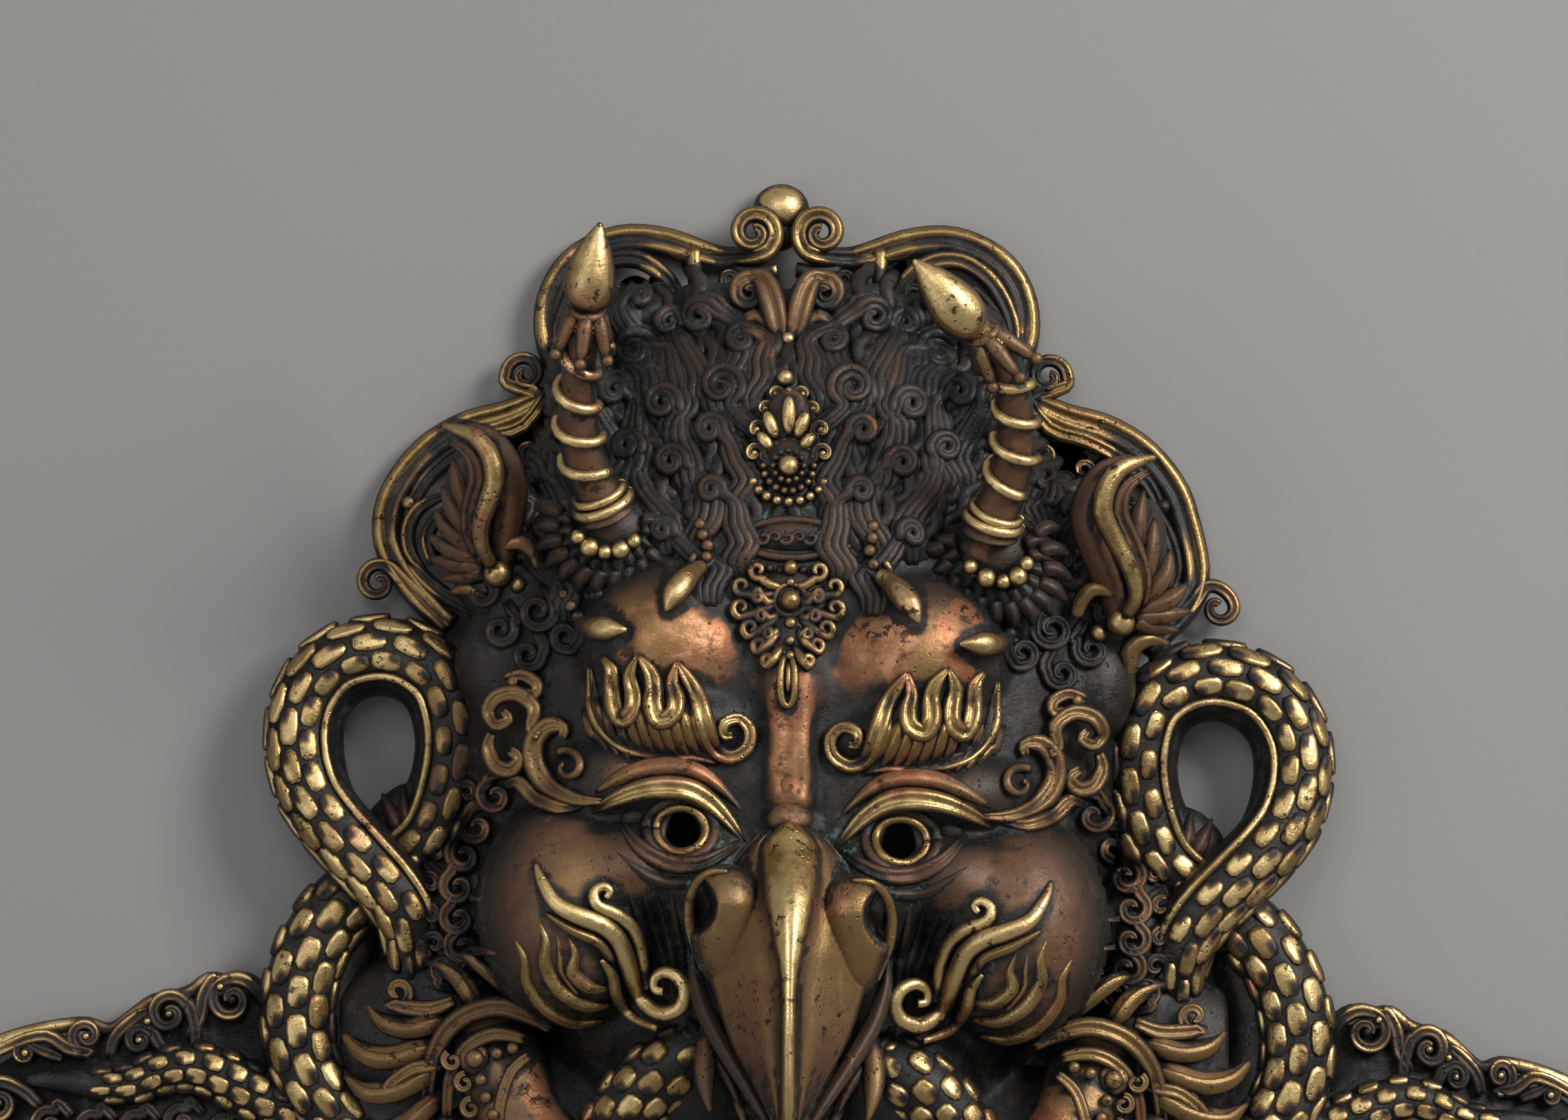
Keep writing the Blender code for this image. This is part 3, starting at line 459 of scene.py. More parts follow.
def face_carving():
    """Eyelids, eye rings, flaming brows, moustache, cheek flames and the temple scrolls."""
    piece = Casting("face_carving")
    lie = piece.lie
    piece.polish = 0.5
    piece.ball(LEFT, (-1.6, 4.4, 71.6), (6.4, 7, 6.4), detail=3)
    piece.ball(LEFT, (-1.6, -4.4, 73.4), (7.6, 6.4, 6.6), detail=3)
    for side in (LEFT, RIGHT):
        piece.polish = 0.8
        lie(side, [(62, -2.5, -1, 0.8), (55, 1.6, 0.6, 2.4), (46, 5, 1.6, 3.4), (37, 6, 2.2, 3.8),
                   (29, 4.6, 2, 3.7),
                   (22, 0, 1.4, 3), (16.5, -6, 0.6, 2), (12.5, -11.5, -0.5, 0.8)], "ridged")
        piece.polish = 0.56
        lie(side, [(60, 4.5, -0.6, 0.9), (51, 9.6, 0.4, 2.6), (40, 12.4, 1, 3.6), (29, 11.4, 0.8, 3.2),
                   (20, 5.6, 0, 2), (13, -2, -0.8, 0.8)], "keel")
        piece.polish = 0.42
        lie(side, [(53, -4, -1.4, 1), (46, -13, 0, 2.6), (37, -18, 0.6, 3), (27, -18.4, 0.6, 2.8),
                   (19, -14.6, 0, 2), (13, -10.6, -1, 0.8)], "ridged")
        piece.polish = 0.3
        lie(side, [(53, -15, -0.8, 0.8), (41, -23.4, 0, 2), (27, -23.8, 0, 2), (16, -19.6, -0.8, 0.8)],
            "keel")
        for reach, lift, thick, piece.polish in ((7.1, 0.7, 1.5, 0.66), (9.8, -0.3, 2, 0.4)):
            lie(side, [(EYE_AT[0] + 0.8 + reach * 1.12 * math.cos(math.radians(a)),
                        EYE_AT[1] + reach * math.sin(math.radians(a)), lift, thick) for a in range(0, 361,
                                                                                                   20)],
                steps=2)
        piece.ball(side, (48, -3.4, 0), (4.4, 3.4, 2), turn=20, lying=True)
        piece.polish = 0.76
        flames = [(58.6, 47.5, 0.8, 0.7), (55.5, 43.5, 1.2, 2.4), (54.8, 38, 1.4, 3.2), (54.2, 32, 1.4, 3.5),
                  (51.8, 27.6, 1.4, 3.3), (48.4, 30.5, 1.4, 3.2), (48.2, 36, 1.4, 3.1), (49.4, 42, 1.2, 2.4),
                  (47.2, 48, 0.8, 0.7)]
        second = [(47.2, 48, 0.8, 0.7), (43.2, 43, 1.2, 2.4), (41.8, 37.5, 1.4, 3.2), (42, 32, 1.4, 3.5),
                  (40, 27.4, 1.4, 3.3), (35.8, 29.2, 1.4, 3.2), (34.8, 34, 1.4, 3.1), (36, 39.5, 1.2, 2.4),
                  (34.6, 46, 0.8, 0.7)]
        third = [(34.6, 46, 0.8, 0.7), (31, 40.5, 1.2, 2.4), (28, 35, 1.4, 3.1), (26.4, 29.5, 1.4, 3.4),
                 (24.6, 23, 1.4, 3.3), (21.5, 17.6, 1.4, 2.8), (16.5, 15.9, 1.4, 2.6), (11.8, 19, 1.4, 2.4),
                 (11.2, 24.5, 1.4, 2.3), (15, 28, 1.4, 2.2), (19.4, 26.4, 1.6, 2), (19.4, 22.8, 2, 1.7),
                 (16.8, 22.6, 2.4, 1.4)]
        fourth = [(62.5, 44.5, 0.4, 0.7), (61.4, 38, 1, 2.2), (60.8, 32, 1.2, 3), (58.5, 26.5, 1.2, 3.2),
                  (53, 20.6, 1.2, 3.2), (45, 17.6, 1.2, 3.2), (36, 16.6, 1.2, 3.2), (28.5, 16.6, 1.2, 2.8),
                  (22, 14.5, 1, 1.4)]
        for flame in (flames, second, third, fourth):
            lie(side, flame, "ridged", steps=3)
        piece.polish = 0.68
        for k in range(11):
            lie(side, [(21.5 + 3.5 * k, 12 + 0.12 * (k - 3) ** 2, -0.2, 1),
                       (24.5 + 3.5 * k, 18 + 0.1 * (k - 3) ** 2, 1.5, 2.3),
                       (27.4 + 3.4 * k, 24, 1.2, 2.4), (29.4 + 3.4 * k, 31, 0.6, 1.8)], "keel", steps=2)
        piece.polish = 0.26
        for k in range(4):
            lie(side, [(50 - 4.6 * k, -26, -0.8, 0.6), (46 - 4 * k, -37, 0, 1.8),
                       (41 - 3 * k, -49, -0.2, 1.8),
                       (39 - 2.4 * k, -60, -0.4, 0.6)], "keel")
        main = [(79, -18.5, 0.5, 0.8), (77, -24, 1.2, 1.9), (72.5, -31, 1.8, 2.6), (65.4, -34.8, 2.2, 3),
                (58, -37.7, 2.4, 3.1), (53, -42.1, 2.6, 3.1), (50, -48.7, 3, 3.1), (47.6, -56, 4.2, 3),
                (44.1, -62, 6, 2.9), (39, -65.6, 8.5, 2.7), (33.4, -64.2, 10, 2.5), (31.2, -59.4, 10, 2.4),
                (33.2, -54.6, 9, 2.3), (37.4, -52.6, 8, 2.1), (40.8, -54.4, 8, 1.9), (40.8, -58, 9, 1.6),
                (38, -58.8, 9.6, 1.4)]
        piece.polish = 0.95
        lie(side, main, steps=4)
        lie(side, [(56.8, -29.4, 3, 1.2), (55.4, -27.2, 2.4, 1.5), (57.4, -25.6, 2, 1.7),
                   (60.4, -27.6, 2, 1.9),
                   (59.4, -31.6, 2.6, 2.1), (53.4, -34.4, 3, 2.3), (48.2, -38.8, 3.4, 2.4),
                   (45.6, -45.4, 4, 2.4),
                   (44.6, -52, 5, 2.2), (42.6, -58, 7, 1.8)], steps=3)
        piece.polish = 0.6
        lie(side, [(76, -34, 0.6, 0.7), (67, -39.6, 1.4, 1.6), (59, -43.2, 1.8, 1.8), (54.5, -49, 2, 1.4)],
            "keel")
        piece.polish = 0.74
        for flame in ([(78, -36, -0.8, 0.5), (75.4, -43, -0.4, 1.6), (75.6, -50, -0.4, 2.4),
                       (71, -58, 0, 2.9),
                       (63, -63, 0.4, 2.6), (55, -63, 1, 0.8)],
                      [(85.6, -42, -0.8, 0.5), (82, -49, -0.4, 1.6), (81, -56, -0.4, 2.4), (75, -64, 0, 2.8),
                       (66, -68.6, 0.8, 2.4), (57, -68, 2, 0.8)],
                      [(68.6, -41, -0.6, 0.5), (66.4, -47, -0.3, 1.6), (67, -52.6, 0, 2.4),
                       (61.4, -57.4, 0.4, 2.4),
                       (55, -57.6, 0.8, 0.8)],
                      [(72, -40, -0.6, 0.4), (71, -47, -0.2, 1), (70.4, -53, 0, 1), (65, -60, 0.6, 0.8)]):
            lie(side, flame, "keel")
        lie(side, [(58, -48.7, 1, 0.8), (54.4, -54, 2.4, 1.8), (52.9, -60.4, 4, 2), (47.8, -67, 7, 1.8),
                   (40, -70.6, 9, 1)])
        piece.polish = 0.56
        temple = [
            [(71, 21.5, 2.4, 1.2), (70.5, 24.5, 2, 1.7), (75, 25.5, 2.4, 2.5), (79.5, 21, 2.8, 3),
             (79.6, 13, 2.6, 3), (74.5, 6, 2.2, 2.8), (66.5, 2, 1.6, 1.8), (58, 1.5, 0.4, 0.8)],
            [(78.2, 22, 5, 1.2), (81, 24.4, 5, 1.5), (80, 31, 5, 2), (85.4, 35.6, 6, 2.2), (92, 34.4, 8, 2.2),
             (94.6, 29.6, 10, 2), (91.8, 25.6, 10, 1.8), (88.2, 27.4, 9, 1.5), (89.8, 30, 9, 1.2)],
            [(89, 40, 5, 1.6), (84, 41.5, 4, 1.8), (79.5, 39, 3.4, 1.8), (79.6, 35.6, 4, 1.5),
             (82.6, 36.2, 5, 1.2)],
            [(93.4, 23, 8, 1.2), (94.5, 18, 8, 2), (91.5, 12.4, 7, 2.4), (86.8, 11.6, 6, 2.2),
             (84.6, 15, 6, 1.8),
             (87.4, 17.4, 7, 1.5)],
            [(88.5, 6.5, 4, 1), (84.5, 7.5, 4, 2), (79.5, 2.5, 3, 2.3), (71.5, -0.8, 2, 1.8),
             (64, 0.4, 0.6, 0.8)]]
        for scroll in temple:
            lie(side, [(out, up, lift, 1.28 * thick) for out, up, lift, thick in scroll], "ridged", steps=3)
        lie(side, curl((69.5, 12.5), 5.4, 0.95, 60, 1, 1.7, 2.2), "round", steps=2)
        piece.ball(side, (86.5, 39.5, 5), (2.3, 2.3, 2.3), lying=True)
        piece.polish = 0.5
        column = ((92, 3), (97.8, -7), (101.8, -16), (103.6, -26), (103.4, -36), (102, -45), (98.5, -53))
        for out, up in column:
            lie(side, [(out - 7, up + 6, -0.5, 0.5), (out + 0.5, up + 7, 2.6, 2.2)] +
                curl((out, up), 5, 1.1, 60, -1, 2.3, 3), "ridged", steps=2)
            lie(side, [(out + 4, up - 7, -0.5, 0.5), (out + 11, up - 4, 2, 2)] +
                curl((out + 9, up + 1), 3.8, 1.1, 300, 1, 1.9, 2.6), "ridged", steps=2)
        piece.polish = 0.22
        for centre, outer, start in (((79, 62), 5.6, 200), ((91, 56), 5, 150), ((70, 54), 4.4, 230),
                                     ((82, 48), 4.6, 180),
                                     ((97, 68), 4.6, 100)):
            lie(side, [(centre[0] - 2, centre[1] + 9, -0.6, 2), (centre[0] - 5.4, centre[1] + 3, 0.8, 2.6)] +
                curl(centre, outer, 1.2, start, 1, 2.1, 1.6), "ridged", steps=2)
        piece.polish = 0.5
        for k in range(6):
            piece.ball(side, (108 + 1.4 * k, 2 - 8.5 * k, 0.6), (2.6, 3.4, 2), turn=20, lying=True)
        piece.polish = 0.36
        for tip, root in (((128, 3.4), (121, -11)), ((121.6, 5.4), (118, -11)), ((115, 4.4), (114.6, -11))):
            middle = (0.4 * tip[0] + 0.6 * root[0] + 1, 0.5 * tip[1] + 0.5 * root[1])
            lie(side, [(*tip, 0.2, 0.6), (*middle, 1.2, 2.8), (*root, 0.8, 2.4)], "keel")
    return piece.finish()


def even_path(side, course, pitch):
    """Evenly spaced (place, way, radius) samples along a drawn course."""
    knots = [(place(side, *point[:3]), point[3] * UNIT) for point in smooth_path(course, 10)]
    lengths = [0.0]
    for (a, _), (b, _) in zip(knots, knots[1:]):
        lengths.append(lengths[-1] + (b - a).length)
    count = max(2, int(lengths[-1] / pitch))
    found = []
    for k in range(count + 1):
        want = lengths[-1] * k / count
        index = min(len(knots) - 2, max(0, int(np.searchsorted(lengths, want)) - 1))
        t = (want - lengths[index]) / max(1e-9, lengths[index + 1] - lengths[index])
        way = (knots[index + 1][0] - knots[index][0]).normalized()
        found.append((knots[index][0].lerp(knots[index + 1][0], t), way,
                      knots[index][1] * (1 - t) + knots[index + 1][1] * t))
    return found


def clad(piece, side, course, turn, pitch, rows, keel=None, dulled=0.0, bend=0.0):
    """Scales over a serpent's body: rows are angles from straight up, growing towards the turn's outside."""
    outward = turn * side
    for half in (0, 1):
        samples = even_path(side, course, pitch * UNIT / 2)
        for k, (spot, way, radius) in enumerate(samples):
            if k % 2 != half:
                continue
            across = way.cross(Vector((0, 0, 1))).normalized() * outward
            upward = across.cross(way).normalized() * outward
            if upward.z < 0:
                upward = -upward
            for row, angle in enumerate(rows):
                if row % 2 != half:
                    continue
                turned = math.radians(angle)
                out_of = upward * math.cos(turned) + across * math.sin(turned)
                gap = math.radians(abs(rows[1] - rows[0])) * radius
                jitter = random.uniform(0.93, 1.05)
                piece.polish = random.uniform(0.68, 1.0) - dulled * smoothstep(122, 104, abs(spot.x) / UNIT)
                length = 0.95 * pitch * UNIT * (1 + bend * math.sin(turned))
                piece.scale(spot + out_of * radius * 0.91, way, out_of, length * jitter, 0.94 * gap * jitter,
                            SCALE_THICK)
    if keel is not None:
        ridge = []
        for spot, way, radius in even_path(side, course, 0.004):
            across = way.cross(Vector((0, 0, 1))).normalized() * outward
            turned = math.radians(keel)
            ridge.append((spot + (Vector((0, 0, 1)) * math.cos(turned) + across * math.sin(turned)) * radius,
                          KEEL_THICK))
        piece.polish = 0.8
        piece.run(ridge)


# The great serpent's courses, as (out, up, height, radius): round the loop from the neck, and the tail
SERPENT = [(116, -56, 16, 8), (118, -38, 22, 11), (124, -27, 23, 11.5), (134, -16, 22, 12), (144, -5, 20, 12),
           (151, 6, 17, 12), (154, 20, 15, 12), (152, 33, 14, 12), (144, 44, 14, 12), (131, 48.5, 14, 12),
           (119, 46.5, 15, 12), (109, 38, 16, 12), (105, 22, 16, 12), (107, 5, 14, 12), (113, -10, 11, 12),
           (125, -21, 8, 12)]
SERPENT_TAIL = [(125, -21, 6, 11), (139, -31, 10, 12.5), (148, -43, 12, 12.5), (152.5, -56, 12, 13),
                (153.5, -69, 12, 13), (151, -82, 12, 12.5), (143, -95, 12, 12), (131, -107, 12, 11.5),
                (116, -117, 12, 11), (98, -127, 12, 10.5), (77, -137, 11, 9.5), (56, -145, 11, 8.5),
                (36, -153, 10, 7.5), (20, -161, 9, 6.5), (12, -171, 8, 5.5), (14, -180, 7, 4.5),
                (22, -182, 7, 3.8), (27, -176, 7, 3.2), (24, -171, 7, 2.6)]

# The dark belly inside the loop, as (out, up, height, radius)
BELLY = [(132, -12, 7, 4), (140, -4, 9, 6.5), (145.5, 7, 9, 7), (147.5, 20, 9, 7), (145.5, 31, 9, 7),
         (139, 38.5, 9, 7),
         (130, 41.5, 9, 7), (120.5, 39.5, 9, 7), (113.8, 32.5, 9, 7), (111, 20, 9, 7), (112.6, 7, 8, 7.4),
         (117.5, -3, 7, 8), (124, -9, 6, 8)]


def serpent(side, word):
    """A great serpent: its dark body and belly, and the scales that clothe its back."""
    piece = Casting("serpent_" + word, 0.12)
    for course in (SERPENT, SERPENT_TAIL):
        piece.bar(side, [(out, up, height, 0.94 * radius) for out, up, height, radius in course])
    piece.polish = 0.2
    piece.bar(side, BELLY)
    piece.bar(side, [(130, -36, 5, 5), (137, -45, 7, 8.5), (141, -57, 7, 10), (141, -70, 7, 10),
                     (137, -84, 7, 10),
                     (128, -97, 6, 8)])
    clad(piece, side, SERPENT, RIGHT, 12.4, (-16, 16, 48, 77), keel=-42, dulled=0.34, bend=0.32)
    clad(piece, side, SERPENT_TAIL[:14], RIGHT, 12.4, (-70, -35, 0, 35, 70))
    return piece.finish()


def crown_border():
    """The openwork scrolls round the head, with fronds and curls inside them, and the bud on top."""
    piece = Casting("crown_border", 0.72)
    for side in (LEFT, RIGHT):
        band = [(19, 175.6, 5, 4), (26, 176.6, 5, 4.6), (38, 180.4, 5, 5), (50, 181.8, 5, 5),
                (60, 179.4, 5, 5),
                (69, 173.6, 5, 5), (74.5, 165, 5, 5), (76.4, 155, 5, 5), (74.6, 145, 6, 5), (70, 136, 8, 4.6)]
        piece.bar(side, list(reversed(curl((10.8, 184), 7.4, 1.45, 255, -1, 3.2, 12))) + band, "ridged",
                  steps=3)
        inner = [(72, 144, 8, 2.4), (72.5, 153, 8, 3), (69.5, 162, 8, 3.2), (64, 170, 8, 3.2),
                 (56, 175, 8, 3.2),
                 (47.5, 175, 8, 3.2), (40.5, 171, 8, 3), (36, 165.5, 8, 2.6)]
        piece.bar(side, inner + curl((40, 164.2), 4.6, 1.1, 190, 1, 2.2, 8), "ridged", steps=3)
        piece.bar(side, [(70, 150, 12, 2), (66, 158, 11, 2.6), (60, 165, 10, 2.6)] +
                  curl((55.5, 161.5), 4.4, 1.0, 40, 1, 2.1, 10), "ridged", steps=3)
        second = [(79, 131, 7, 3.6), (89, 125, 6, 4.8), (101, 121.5, 5, 5.2), (112, 115.5, 5, 5.2),
                  (120.4, 107, 5, 5.2), (126, 97, 5, 5.2), (127.4, 87, 5, 5), (124.6, 77.5, 6, 4.8),
                  (117, 67, 9, 4.6), (107, 57, 14, 4.4)]
        piece.bar(side, list(reversed(curl((83.8, 138), 6.2, 1.25, 330, 1, 2.4, 7))) + second, "ridged",
                  steps=3)
        piece.bar(side, [(76, 133, 9, 2), (84, 121.5, 9, 2.6), (96, 117.5, 9, 2.8), (107, 111.5, 8, 2.8),
                         (115.5, 103.5, 8, 2.8), (119.8, 95, 8, 2.4)], "ridged", steps=3)
        piece.ball(side, (120.5, 96.5, 9), (2.6, 2.6, 2.6))
        for lower in ([(110, 98.5, 12, 1.4), (117, 95, 10, 2.4), (120.6, 88.5, 9, 2.6), (120, 81, 9, 2.4),
                       (116, 75, 10, 1.6)],
                      [(104, 96, 16, 1.4), (111, 92, 14, 2.3), (114.6, 85, 12, 2.4), (112.5, 77, 12, 2)],
                      [(100, 62, 18, 2), (107, 66, 14, 2.6), (114, 71, 11, 2.8), (119.6, 77, 9, 2.4)]):
            piece.bar(side, lower, "ridged", steps=3)
        piece.bar(side, [(106, 58, 14, 3), (114, 64, 11, 3.4), (121, 70.5, 9, 3.2), (126, 75.5, 8, 2.8)] +
                  curl((130, 71), 5.8, 1.1, 100, -1, 2.4, 8), "ridged", steps=3)
        piece.bar(side, [(30, 178, 6, 3), (29.5, 170, 8, 2.4), (30, 163, 13, 2)])
        for centre, outer in (((18, 169), 3), ((95, 108), 3.6), ((103, 104), 3), ((82, 113), 3.4)):
            piece.bar(side, [(centre[0] - 7, centre[1] - 6, 14, 1.4), (centre[0] - 2, centre[1] - 5, 13, 2)] +
                      curl(centre, outer, 1.0, 270, 1, 1.7, 12), "ridged", steps=2)
        piece.polish = 0.5
        leaf = [(1.4, 146, 39, 1.6), (3, 154, 39, 3.8), (4.8, 162, 38, 4.4), (7.6, 168.4, 35, 3.8)]
        piece.bar(side, leaf + curl((12, 164.4), 4.8, 1.15, 100, -1, 3.1, 33), "ridged", steps=3)
        piece.bar(side, [(4, 149, 38, 1.2), (9, 156.5, 37, 2.8), (13.5, 154, 36, 2.6), (13.5, 147.5, 36, 1)],
                  "keel")
        piece.bar(side, [(6, 166, 24, 5), (7, 160, 28, 6), (5, 152, 31, 5)])
        piece.polish = 0.72
        piece.bar(side, [(3, 172, 9, 2.6), (9.5, 171.5, 8, 2.8), (17, 172, 7, 2.4)], steps=3)
    piece.polish = 0.9
    piece.ball(LEFT, (2, 184, 5), (6, 6, 5), detail=3)
    piece.ball(LEFT, (2, 191.4, 4), (9.2, 8.4, 9), detail=4)
    piece.ball(LEFT, (-0.4, 149.8, 42), (2.4, 2.4, 2.6))
    return piece.finish()


def ears():
    """The leaf-shaped ears: a folded lobe, fins behind it, a curled stem and a hanging tuft."""
    piece = Casting("ears")
    for side in (LEFT, RIGHT):
        more, less = (8, -9) if side == RIGHT else (0, 0)

        def ear_bar(points, kind):
            piece.bar(side, [(out + more, up + less, height, radius) for out, up, height, radius in points],
                      kind, 3)

        piece.polish = 0.78
        ear_bar([(110.5, 121.5, 60, 0.8), (105, 120, 63, 2), (98.6, 117.4, 66, 3), (94.4, 111.5, 67, 3.4),
                 (93.2, 104, 66, 3.4), (95.4, 96.5, 63, 3.2), (97.6, 89, 59, 2.9), (97, 82.4, 55, 2.5),
                 (94, 77, 50, 2.2)], "round")
        piece.polish = 0.46
        ear_bar([(103, 121, 58, 1.5), (95, 117, 60, 3.8), (90, 110, 59, 5), (88, 101, 56, 5.4),
                 (88.6, 91, 52, 5),
                 (90, 82, 47, 4.2), (90, 74, 42, 3)], "keel")
        ear_bar([(107.8, 116.6, 58, 1), (101, 112, 60, 2.4), (98.6, 104, 59, 3), (100.6, 96, 55, 3.2),
                 (101, 88, 51, 3), (98, 80, 47, 2.4)], "ridged")
        for tip, middle in (((106.5, 110.5, 52), (104, 100, 54)), ((109.9, 102, 50), (106, 93.5, 52)),
                            ((112.2, 94, 47), (107.4, 87.5, 49)), ((114.2, 86, 44), (107.6, 82, 46)),
                            ((113.6, 78.5, 41), (106, 77.2, 43)), ((109.8, 72, 38), (103, 73.4, 40))):
            root = (96.6, 0.35 * middle[1] + 49, 45)
            ear_bar([(*tip, 0.7), (*middle, 3), (*root, 2.6)], "keel")
        piece.polish = 0.6
        ear_bar([(107.2, 67.6, 34, 0.8), (101, 69.5, 38, 2.8), (95.5, 66.5, 38, 3.4), (94.2, 59, 34, 2.8),
                 (92, 52, 28, 1)], "keel")
        ear_bar([(90.6, 83, 50, 2), (85, 84, 50, 2.6), (80.4, 81, 48, 2.8), (78.2, 75.6, 46, 2.4)], "round")
        ear_bar([(86, 71, 40, 3), (81.5, 67.5, 38, 3.2), (80.6, 62, 35, 2.8), (84, 57, 31, 2.6),
                 (88, 54, 28, 2.4)], "keel")
        piece.polish = 0.85
        piece.ball(side, (92.1 + more, 74.3 + less, 45), (4.8, 4.8, 5), detail=3)
        piece.ball(side, (85.3 + more, 70.5 + less, 42), (3.2, 3.2, 3.6), detail=3)
        piece.polish = 0.3
        piece.ball(side, (100 + more, 90 + less, 32), (9, 22, 16), turn=10, detail=3)
    return piece.finish()


# Locks of hair: the way up from the root as (out, up), then the curl's centre, reach, start angle and spin
LOCKS = [
    (((19, 134), (14, 143), (17, 153)), (27.8, 156.9), 5.6, 150, -1),
    (((34, 128), (38, 138), (39, 146)), (48.6, 146), 6.4, 170, -1),
    (((8, 118), (13, 123), (16, 128)), (21, 134.4), 6.6, 200, -1),
    (((30, 110), (32, 118), (33, 125)), (39.8, 128.8), 5.6, 190, -1),
    (((46, 110), (49, 119), (50, 128)), (55.5, 133), 5.4, 190, -1),
    (((27, 92), (27, 100), (31, 107)), (37, 110), 5, 190, -1),
    (((40, 92), (45, 101), (46, 110)), (51, 115), 4.8, 190, -1),
    (((66, 88), (70, 97), (75, 103)), (82.6, 105.6), 5.6, 190, -1),
    (((60, 78), (64, 82), (68, 87)), (75.4, 88), 5, 190, -1), (((56, 112), (60, 120), (62, 128)), (67, 132),
                                                               4.6, 190, -1),
    (((44, 138), (50, 144), (56, 148)), (62, 150), 4.8, 200, -1),
    (((70, 112), (74, 116), (78, 118)), (82, 120), 4, 200, -1),
    (((9, 137), (11, 143), (9, 149)), (14.5, 149.5), 4, 100, -1),
    (((72, 70), (76, 74), (79, 79)), (84, 82), 4, 200, -1),
    (((84, 88), (88, 92), (90, 96)), (93, 96), 3.6, 200, -1), (((78, 96), (84, 98), (88, 104)), (90, 110), 4,
                                                               260, 1),
    (((14, 104), (18, 110), (19, 116)), (24.5, 120.5), 4.6, 190, -1),
    (((30, 138), (32, 146), (33, 152)), (38, 155), 4.4, 190, -1),
    (((62, 98), (66, 106), (67, 112)), (71.5, 116), 4.4, 190, -1),
    (((12, 84), (17, 90), (19, 97)), (24, 101), 4, 190, -1),
    (((24, 76), (30, 80), (34, 86)), (39.5, 88), 3.8, 190, -1),
    (((46, 148), (50, 155), (51, 160)), (47, 163.5), 3.2, 20, 1)]


def hair():
    """The locks: a fan of strands from each root that closes into a curl, over finer strands between them."""
    piece = Casting("hair_locks")
    for side in (LEFT, RIGHT):
        for number, (rise, centre, outer, start, spin) in enumerate(LOCKS):
            out, up = rise[0]
            way = [(out - 1, up - 12), (out + 1.5, up - 6), *rise]
            for shift in (-1.4, -0.5, 0.5, 1.4):
                strand = []
                for k, (out, up) in enumerate(way):
                    spread = (0.4 + 0.6 * math.sin(math.pi * (k + 0.6) / len(way))) * shift
                    sway = 2.6 * math.sin(0.95 * k + 1.7 * number)
                    strand.append((out + sway + 2.7 * spread, up, 2.2 - 0.9 * abs(shift) - 3.4 * (k == 0), 2))
                if abs(shift) < 1:
                    wound = curl(centre, outer * (1.05 if shift < 0 else 0.62), 1.25, start, spin, 2.1, 3)
                else:
                    wound = curl(centre, outer * 1.5, 0.35, start, spin, 1.8, 1, 0.5)
                piece.polish = random.uniform(0.2, 0.36)
                piece.lie(side, strand + wound, "strand", steps=3)
    return piece.finish()


def hair_ground():
    """The long waved strands that lie under the locks."""
    piece = Casting("hair_strands", 0.18)
    for side in (LEFT, RIGHT):
        for row in range(12):
            for k in range(12):
                out = 5 + 7.6 * k + random.uniform(-2, 2)
                up = 72 + 7.8 * row + random.uniform(-2, 2)
                by_crest = up > 146 and out < 20
                past_edge = (out / 94) ** 2 + ((up - 40) / 116) ** 2 > 1
                if by_crest or past_edge or up < 84 - 0.2 * out:
                    continue
                strand = [(out, up, -3.4, 1.6)]
                for step in range(1, 8):
                    angle = math.radians(94 - 0.72 * out + 38 * math.sin(0.2 * up + 0.07 * out + 0.95 * step))
                    out, up = out + 3.6 * math.cos(angle), up + 3.6 * math.sin(angle)
                    strand.append((out, up, -0.4 - 0.32 * abs(step - 4), 3 - 0.2 * abs(step - 4)))
                piece.lie(side, strand + [(out + 1.4, up + 2.4, -3.4, 1.4)], "strand", steps=2)
    return piece.finish()


